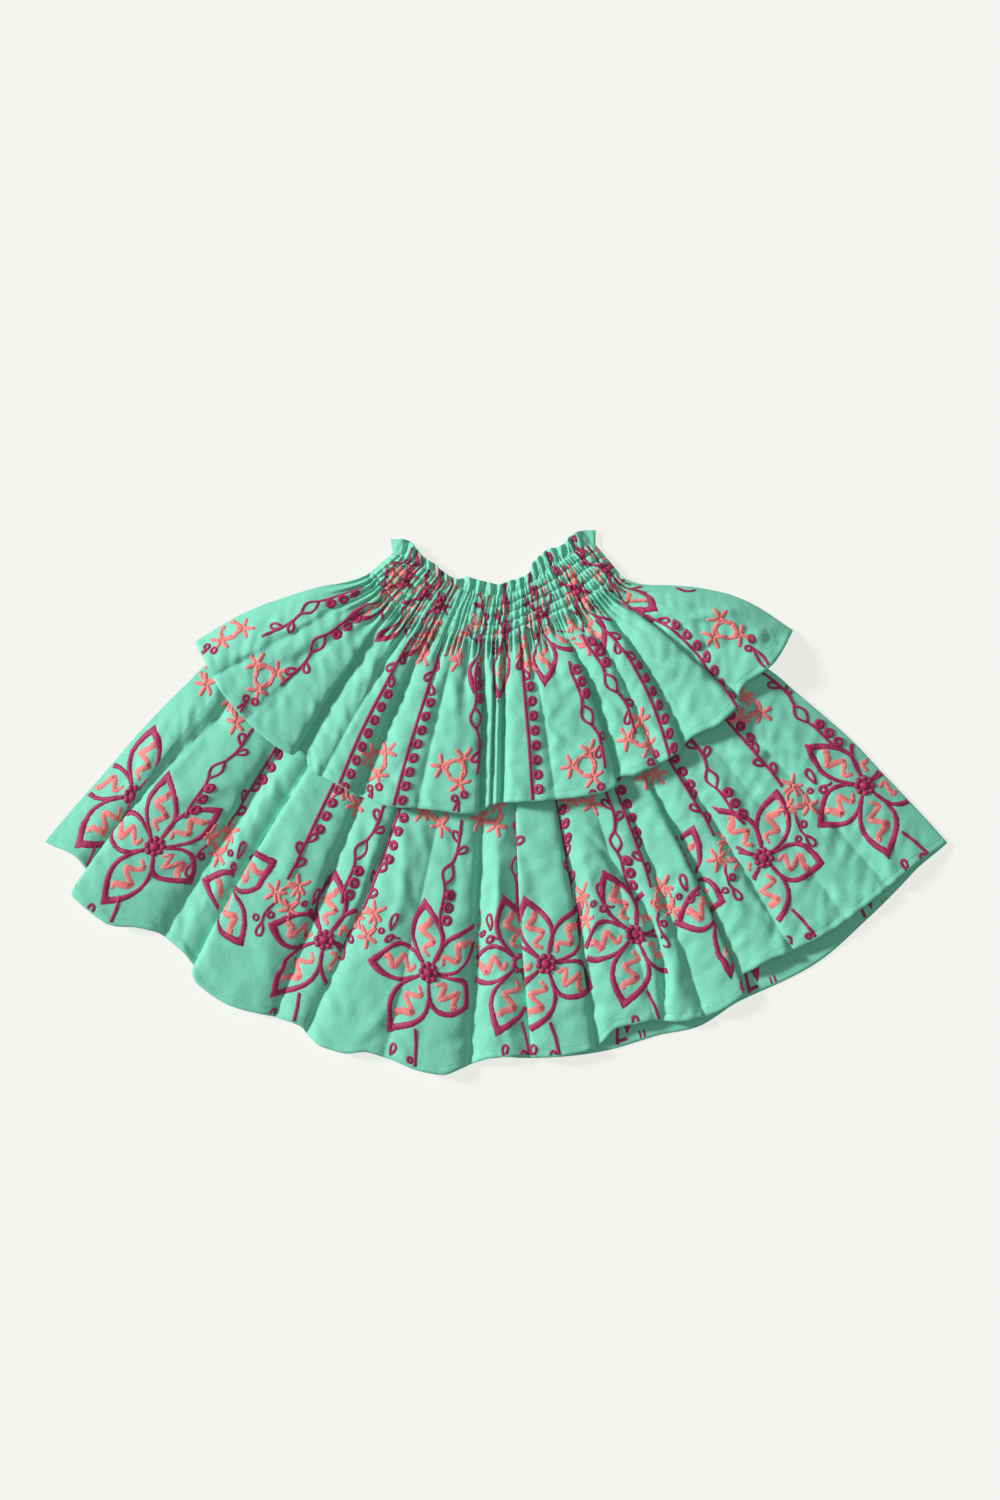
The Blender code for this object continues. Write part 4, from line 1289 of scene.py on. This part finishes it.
def patch_at(panel, place, stretch):
    """The patch for a motif at a place, turned over on the upper panels, whose border hangs down."""
    line, way = spot(panel, place.bearing, place.reach)
    return Patch(panel, line, way, *stretch, panel in UPPER_PANELS, (place.first, place.last))


def border_pieces(magenta, coral, where):
    return [
        magenta.piece(f"embroidery_magenta_{where}", MAGENTA),
        coral.piece(f"embroidery_coral_{where}", CORAL),
    ]


def lower_border():
    magenta, coral = Thread(lower_front), Thread(lower_front)
    for place in LOWER_FLOWERS:
        patch = patch_at(lower_front, place, FLOWER)
        flower(magenta, coral, patch, place.turn)
        flower_stem(magenta, patch)
    for place in LOWER_CLUSTERS:
        patch = patch_at(lower_front, place, CLUSTER)
        star_cluster(coral, patch)
        cluster_sprays(magenta, patch)
    for place in LOWER_STEMS:
        bead_stem(magenta, patch_at(lower_front, place, Stretch(40, -20, 280)), 270)
    for place in LOWER_VINES:
        ring_vine(magenta, patch_at(lower_front, place, VINE))
    for place in LOWER_TOP_STARS:
        star_cluster(coral, patch_at(lower_front, place, STARS), -6.2, 14.2)
    return border_pieces(magenta, coral, "lower")


def upper_border():
    magenta, coral = Thread(upper_front), Thread(upper_front)
    for place in UPPER_FLOWERS:
        flower(magenta, coral, patch_at(upper_front, place, UPPER_FLOWER), place.turn)
    for place in UPPER_STEMS:
        patch = patch_at(upper_front, place, Stretch(50, -170, 110))
        stem(magenta, patch, [(0, -120), (0, 105)], height=1.1, pitch=2.4)
        beads(magenta, patch, -52, 100)
        teardrops(magenta, patch, -72, -14)
    for place in UPPER_VINES:
        ring_vine(magenta, patch_at(upper_front, place, VINE))
    for place in UPPER_CLUSTERS:
        patch = patch_at(upper_front, place, STARS)
        star_cluster(coral, patch, turn=20)
        ring(magenta, patch, 12, 26, 10, 3)
        ring(magenta, patch, 2, 31, 9.5, 3)
        drop(magenta, patch, 6, 33, 96, 26, 9)
    for place in WAIST_STEMS:
        patch = patch_at(upper_front, place, Stretch(50, -40, 40))
        stem(magenta, patch, [(0, -26), (1, 0), (0, 18)], 4.2, 1.1)
        beads(magenta, patch, -14, 3)
    for place in WAIST_CLUSTERS:
        star_cluster(coral, patch_at(upper_front, place, Stretch(70, -30, 60)))
    return border_pieces(magenta, coral, "upper")


def sewing():
    """The hems' stitches, and those over each row of elastic."""
    lower, upper = Thread(lower_front), Thread(upper_front)
    lower.stitches(1 - HEM_TURN / LOWER_LENGTH, HEM_STITCH)
    upper.stitches(1 - HEM_TURN / UPPER_LENGTH, HEM_STITCH)
    for row in range(ELASTIC_ROWS):
        upper.stitches(-0.995 + row * 0.985 / (ELASTIC_ROWS - 1), ELASTIC_STITCH)
    return [
        lower.piece("hem_stitches_lower", SEWING),
        upper.piece("hem_and_elastic_stitches_upper", SEWING),
    ]


def back_lower_border():
    magenta, coral = Thread(lower_back, -1, 2.0), Thread(lower_back, -1, 2.0)
    for bearing in BACK_REPEATS:
        patch = patch_at(lower_back, Place(bearing, 520), FLOWER)
        flower(magenta, coral, patch)
        flower_stem(magenta, patch)
        ring_vine(magenta, patch_at(lower_back, Place(bearing + 0.4, 462), Stretch(60, -40, 100)))
        patch = patch_at(lower_back, Place(bearing - 7.9, 480), CLUSTER)
        star_cluster(coral, patch)
        cluster_sprays(magenta, patch)
        patch = patch_at(lower_back, Place(bearing - 8.4, 458), Stretch(40, -20, 130))
        bead_stem(magenta, patch, 118)
    return border_pieces(magenta, coral, "back_lower")


def back_upper_border():
    magenta, coral = Thread(upper_back, -1, 2.0), Thread(upper_back, -1, 2.0)
    for bearing in BACK_UPPER_REPEATS:
        flower(magenta, coral, patch_at(upper_back, Place(bearing, 190), UPPER_FLOWER))
        ring_vine(magenta, patch_at(upper_back, Place(bearing + 1.5, 235), Stretch(60, -40, 120)))
        star_cluster(coral, patch_at(upper_back, Place(bearing, 318), STARS), turn=20)
        patch = patch_at(upper_back, Place(bearing + 10.5, 290), Stretch(50, -120, 110))
        stem(magenta, patch, [(0, -90), (0, 60)], height=1.1, pitch=2.4)
        beads(magenta, patch, -52, 60)
    return border_pieces(magenta, coral, "back_upper")


def reverse_ends():
    """The ends of the back tier's motifs, seen from behind."""
    magenta = Thread(lower_back)
    for place in REVERSE_ENDS:
        patch = patch_at(lower_back, place, ENDS)
        for path, widths in (
            ([(-2, 30), (-2, 12), (-7, -14)], (4.2, 4.2)),
            ([(-6, -9), (5, -9)], (4.2, 4.2)),
            ([(9, 15), (8, 4), (6, -4)], (15.0, 9.0, 2.0)),
            ([(20, -5), (20, -13)], (2.6, 2.6)),
            ([(25, -5), (25, -13)], (2.6, 2.6)),
        ):
            magenta.ribbon(patch, path, widths, 0.5, round_top=False)
    return [magenta.piece("embroidery_reverse_back_lower", MAGENTA)]


BORDERS = (lower_border, upper_border, sewing, back_lower_border, back_upper_border, reverse_ends)
SEWN = {piece.name: piece for border in BORDERS for piece in border()}
for piece in SEWN.values():
    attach(piece, "root")


# Camera, light and floor


def studio():
    scene = bpy.context.scene
    scene.view_settings.view_transform = "Standard"
    camera = bpy.data.objects.new("camera_over_the_skirt", bpy.data.cameras.new("camera"))
    scene.collection.objects.link(camera)
    middle, height, shown, cloth_top, sensor = (0.0041, 0.05725), 6.0, 1.65, 0.012, 36.0
    camera.location = (*middle, height)
    camera.data.sensor_width = sensor
    camera.data.lens = sensor * (height - cloth_top) / shown
    camera.data.clip_end = 50.0
    scene.camera = camera

    work = bmesh.new()
    bmesh.ops.create_grid(work, x_segments=1, y_segments=1, size=12.0)
    mesh = bpy.data.meshes.new("floor")
    work.to_mesh(mesh)
    work.free()
    floor = bpy.data.objects.new("pale_floor", mesh)
    floor.location.z = -0.0002
    scene.collection.objects.link(floor)
    # A white acrylic table lit from below, so that the skirt casts only a faint shadow on it
    paper, shader = new_material("light_table_acrylic_matt")
    shader.inputs["Base Color"].default_value = (0.2, 0.2, 0.197, 1.0)
    shader.inputs["Emission Color"].default_value = (1.0, 1.0, 0.955, 1.0)
    shader.inputs["Emission Strength"].default_value = 0.74
    shader.inputs["Roughness"].default_value = 0.9
    shader.inputs["Specular IOR Level"].default_value = 0.1
    mesh.materials.append(paper)

    world = bpy.data.worlds.new("studio_room")
    world.use_nodes = True
    world.node_tree.nodes["Background"].inputs["Color"].default_value = (1.0, 1.0, 1.0, 1.0)
    world.node_tree.nodes["Background"].inputs["Strength"].default_value = 0.13
    scene.world = world
    for name, place, angle, strength in (
        ("window_light", (-2.6, 0.9, 1.4), 10.0, 3.5),
        ("ceiling_light", (0.3, -0.2, 3.6), 50.0, 0.5),
    ):
        light = bpy.data.objects.new(name, bpy.data.lights.new(name, "SUN"))
        light.data.angle = np.radians(angle)
        light.data.energy = strength
        light.location = place
        light.rotation_mode = "QUATERNION"
        light.rotation_quaternion = (-light.location).to_track_quat("-Z", "Y")
        scene.collection.objects.link(light)


studio()
